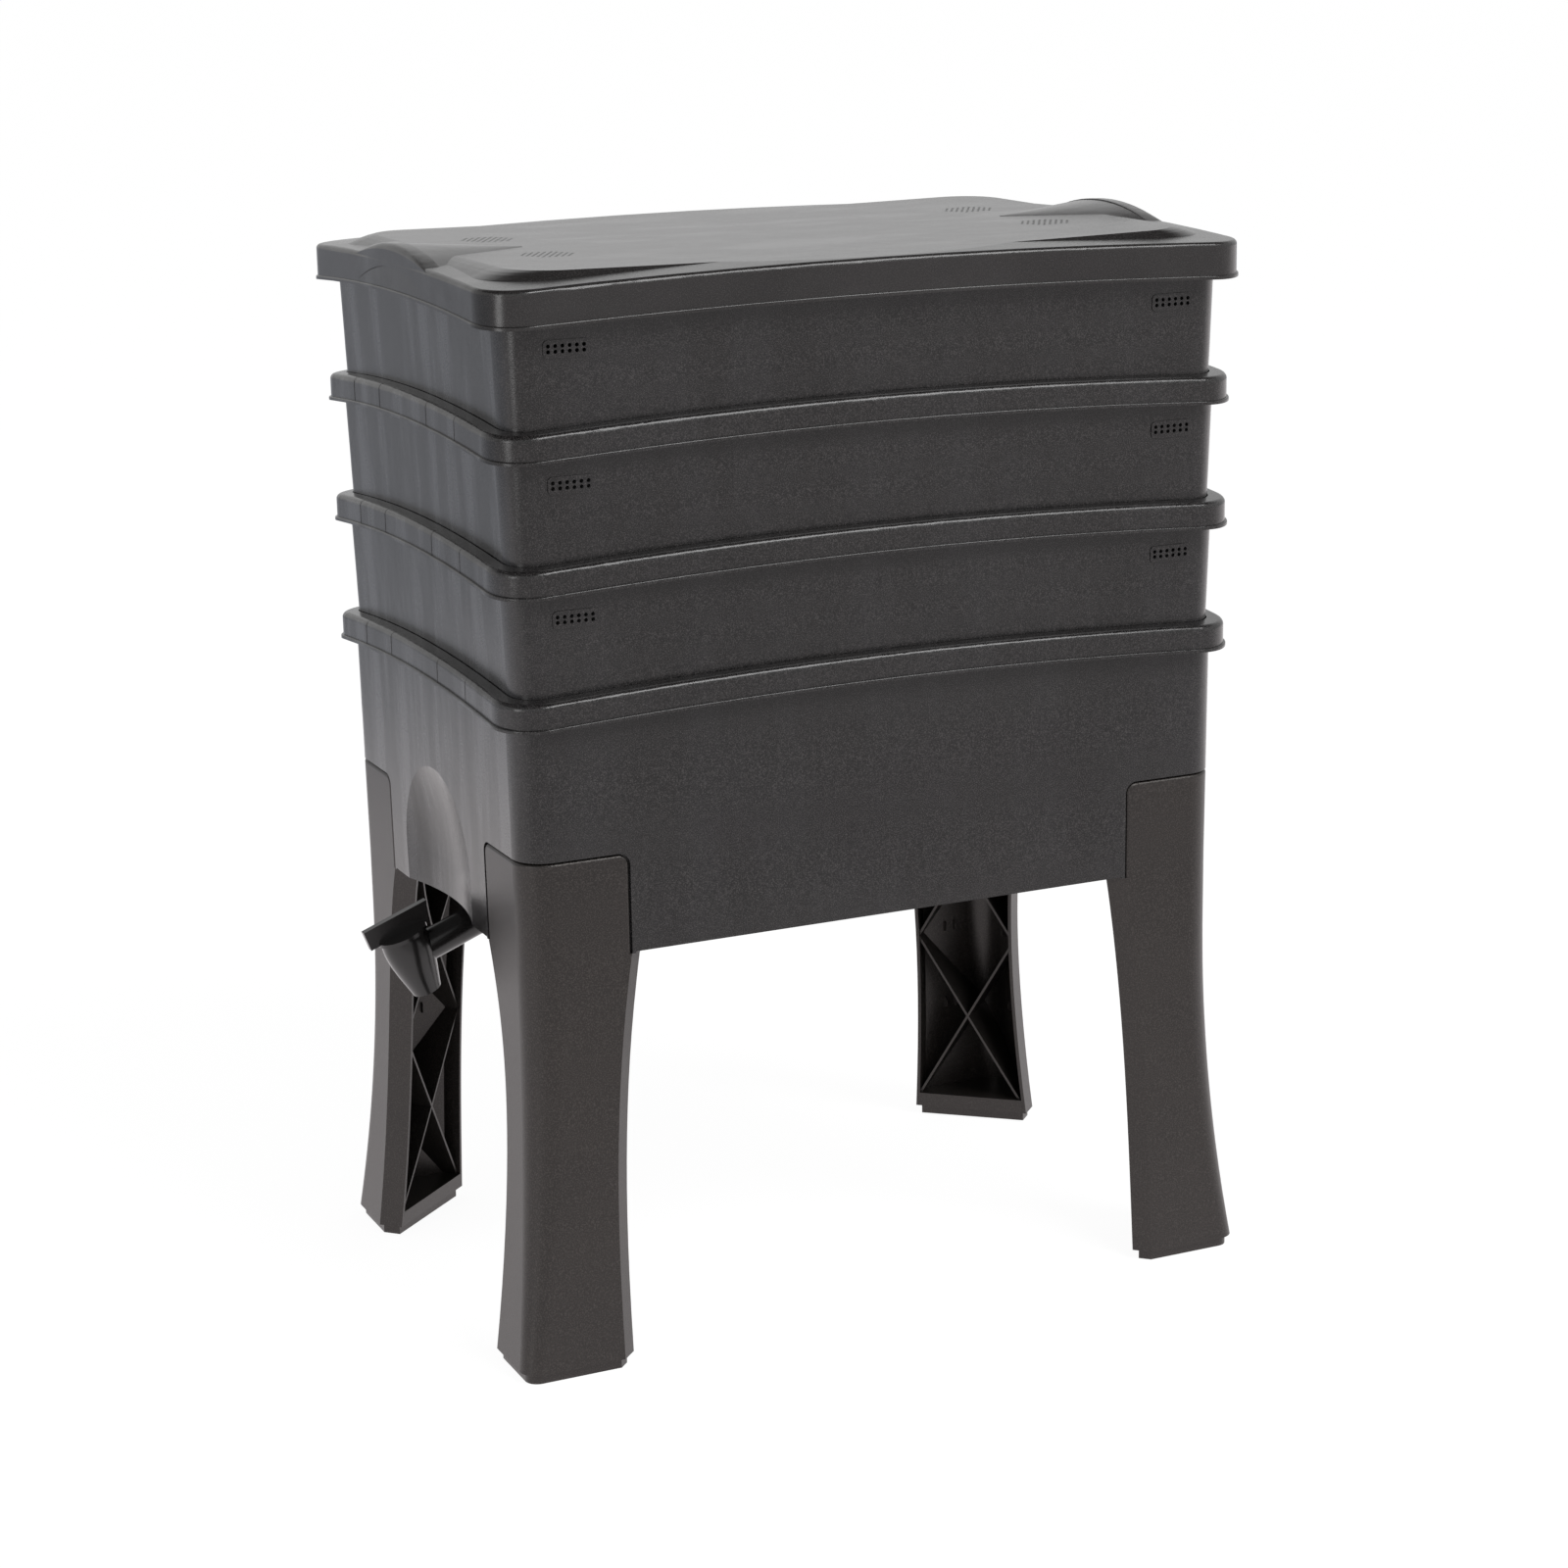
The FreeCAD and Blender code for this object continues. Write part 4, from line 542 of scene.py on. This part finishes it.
# the tap's chamber: a bulged skin closed over the plain cones of the solid one
chamber = {
    "place": (-0.3092, 0.0, 0.2778),
    "tilt": 21.0,
    "outer": [(0.01115, -0.0314), (0.0159, -0.012), (0.0209, 0.003), (0.0176, 0.0173)],
    "inner": [(0.0170, 0.0173), (0.0179, 0.004), (0.0147, -0.010), (0.0107, -0.0314)],
    "points": 18,
    "turns": 72,
    "sharpFrom": 40,  # degrees
}


def curveWeights(share):
    # how much each of four control points counts along a cubic curve
    rest = 1 - share
    return rest ** 3, 3 * share * rest ** 2, 3 * share ** 2 * rest, share ** 3


def addChamberSkin(material):
    skin = bmesh.new()
    loop = []
    for step in range(chamber["points"] + 1):
        weights = curveWeights(step / chamber["points"])
        radius, height = [
            sum(weight * point[axis] for weight, point in zip(weights, chamber["outer"]))
            for axis in (0, 1)]
        loop.append(skin.verts.new((radius, 0, height)))
    loop += [skin.verts.new((radius, 0, height)) for radius, height in chamber["inner"]]
    edges = [skin.edges.new((loop[index - 1], loop[index])) for index in range(len(loop))]
    bmesh.ops.spin(
        skin, geom=loop + edges, cent=(0, 0, 0), axis=(0, 0, 1), angle=math.radians(360),
        steps=chamber["turns"], use_merge=True)
    bmesh.ops.rotate(
        skin, verts=skin.verts, matrix=Matrix.Rotation(math.radians(-chamber["tilt"]), 3, "Y"))
    x, y, z = chamber["place"]
    bmesh.ops.translate(skin, verts=skin.verts, vec=(middleX + x, y, z))
    piece = makePiece("tap_chamber_skin", skin, material, "stand")
    for face in piece.data.polygons:
        face.use_smooth = True
    piece.data.set_sharp_from_angle(angle=math.radians(chamber["sharpFrom"]))


# studio: white floor and walls under a dark ceiling, soft boxes in front and on the left; in reflections
# the floor carries painted shade, darker and cooler far behind, darker in front
studio = {
    "floorHalf": 60.0,
    "floorTone": (0.9, 0.9, 0.9, 1),
    "floorRough": 0.9,
    "white": (1, 1, 1, 1),
    "floorGlow": 1.12,
    "shadowShare": 0.16,  # how much of the floor's own shading the camera sees
    "farReflectedShade": 0.52,  # painted shade: how much darker the floor far behind is in reflections
    "farSlope": (0.4, 0.9),  # which way far behind lies: against X, along Y
    "farFrom": (1.1, 2.6),
    # painted cool cast on the floor far behind, seen only in reflections
    "farReflectedTint": (0.93, 0.955, 1.03, 1),
    "nearReflectedShade": 0.34,  # painted shade: the same for the floor in front, seen in the front faces' reflections
    # painted warm cast on the rest of the floor, seen only in reflections
    "nearReflectedTint": (1.02, 0.975, 0.985, 1),
    "nearFrom": (0.3, 1.3),
    "fill": 0.4,
    "wall": 0.76,
    "ceiling": 0.1,
    "ceilingFrom": (0.5, 0.75),  # sine of the height over the horizon
    "boxes": [
        # name, place, aim, width, height, power
        ("softBoxFront", (1.05, -2.2, 2.75), (0.0, -0.1, 0.7), 2.1, 1.25, 64.0),
        ("softBoxLeft", (-3.1, -1.5, 1.0), (-0.2, -0.1, 0.9), 0.8, 1.7, 14.0),
    ],
}


def setFloor():
    sheet = bmesh.new()
    bmesh.ops.create_grid(sheet, x_segments=1, y_segments=1, size=studio["floorHalf"])
    data = bpy.data.meshes.new("studioFloor")
    sheet.to_mesh(data)
    sheet.free()
    floor = bpy.data.objects.new("studioFloor", data)
    bpy.context.scene.collection.objects.link(floor)
    paper = Finish("floor_paper", {
        "Roughness": studio["floorRough"], "Specular IOR Level": 0.0, "Base Color": studio["floorTone"]})
    direct, mirrored = paper.seen()
    slopeX, slopeY = studio["farSlope"]
    # painted shade and tint on the floor, seen only in reflections: darker far behind and in front,
    # cooler far behind and warmer elsewhere; the camera sees it plain white
    behind = (paper.y * slopeY - paper.x * slopeX).rise(*studio["farFrom"])
    far = behind * studio["farReflectedShade"]
    tint = paper.blend(behind, studio["nearReflectedTint"], studio["farReflectedTint"])
    tint = paper.blend(direct, tint, studio["white"])
    near = (0.0 - paper.y).rise(*studio["nearFrom"]) * studio["nearReflectedShade"]
    glow = (1.0 - (1.0 - direct) * (far + near)) * studio["floorGlow"]
    white = paper.node("ShaderNodeEmission", {}, {"Color": tint, "Strength": glow})
    share = mirrored - direct * studio["shadowShare"]
    body = Wire(paper, paper.shader.outputs["BSDF"])
    mixed = paper.node("ShaderNodeMixShader", {}, {0: share, 1: body, 2: white})
    output = paper.tree.nodes["Material Output"]
    paper.tree.links.new(mixed.socket, output.inputs["Surface"])
    data.materials.append(paper.material)


def setRoom():
    world = bpy.data.worlds.new("studioWorld")
    bpy.context.scene.world = world
    world.use_nodes = True
    room = Graph(world.node_tree)
    direct, mirrored = room.seen()
    up = room.parts(room.node("ShaderNodeTexCoord", {}, {}, "Generated"))[2]
    wall = studio["wall"] - up.rise(*studio["ceilingFrom"]) * (studio["wall"] - studio["ceiling"])
    level = direct + (mirrored - direct) * wall + (1.0 - mirrored) * studio["fill"]
    room.tree.links.new(level.socket, room.tree.nodes["Background"].inputs["Strength"])
    room.tree.nodes["Background"].inputs["Color"].default_value = studio["white"]


def setBoxes():
    for name, place, aim, width, height, power in studio["boxes"]:
        lamp = bpy.data.lights.new(name, "AREA")
        lamp.shape = "RECTANGLE"
        lamp.size = width
        lamp.size_y = height
        lamp.energy = power
        holder = bpy.data.objects.new(name, lamp)
        bpy.context.scene.collection.objects.link(holder)
        holder.location = place
        holder.rotation_euler = (Vector(aim) - Vector(place)).to_track_quat("-Z", "Y").to_euler()


setCamera()
setFloor()
setRoom()
setBoxes()
bpy.context.scene.view_settings.view_transform = "Standard"
print("studio set")

trayPlastic = makeTrayFinish()
lidPlastic = makeLidFinish()
legPlastic = makeLegFinish()
tapPlastic = makeCloudyFinish("tap_black", tapFinish)
sealRubber = makeCloudyFinish("seal_rubber", sealFinish)
for name in nodes:
    if name.startswith("leg"):
        dress(name, legPlastic)
    elif "washer" in name:
        dress(name, sealRubber)
    elif name.startswith("tap"):
        dress(name, tapPlastic)
    elif name.startswith("lid"):
        dress(name, lidPlastic)
    else:
        dress(name, trayPlastic)
print("parts dressed")

for level, body in enumerate(rim["bodies"]):
    crease = rim["lowestCrease"] + level * rim["pitch"]
    addMouldLines(body, crease, trayPlastic)
    if body != "stand":
        addAirPads(body, crease, trayPlastic)
print("mould lines and air pads added")

addLegRibs(legPlastic)
print("leg ribs added")
addChamberSkin(tapPlastic)
print("chamber skin added")
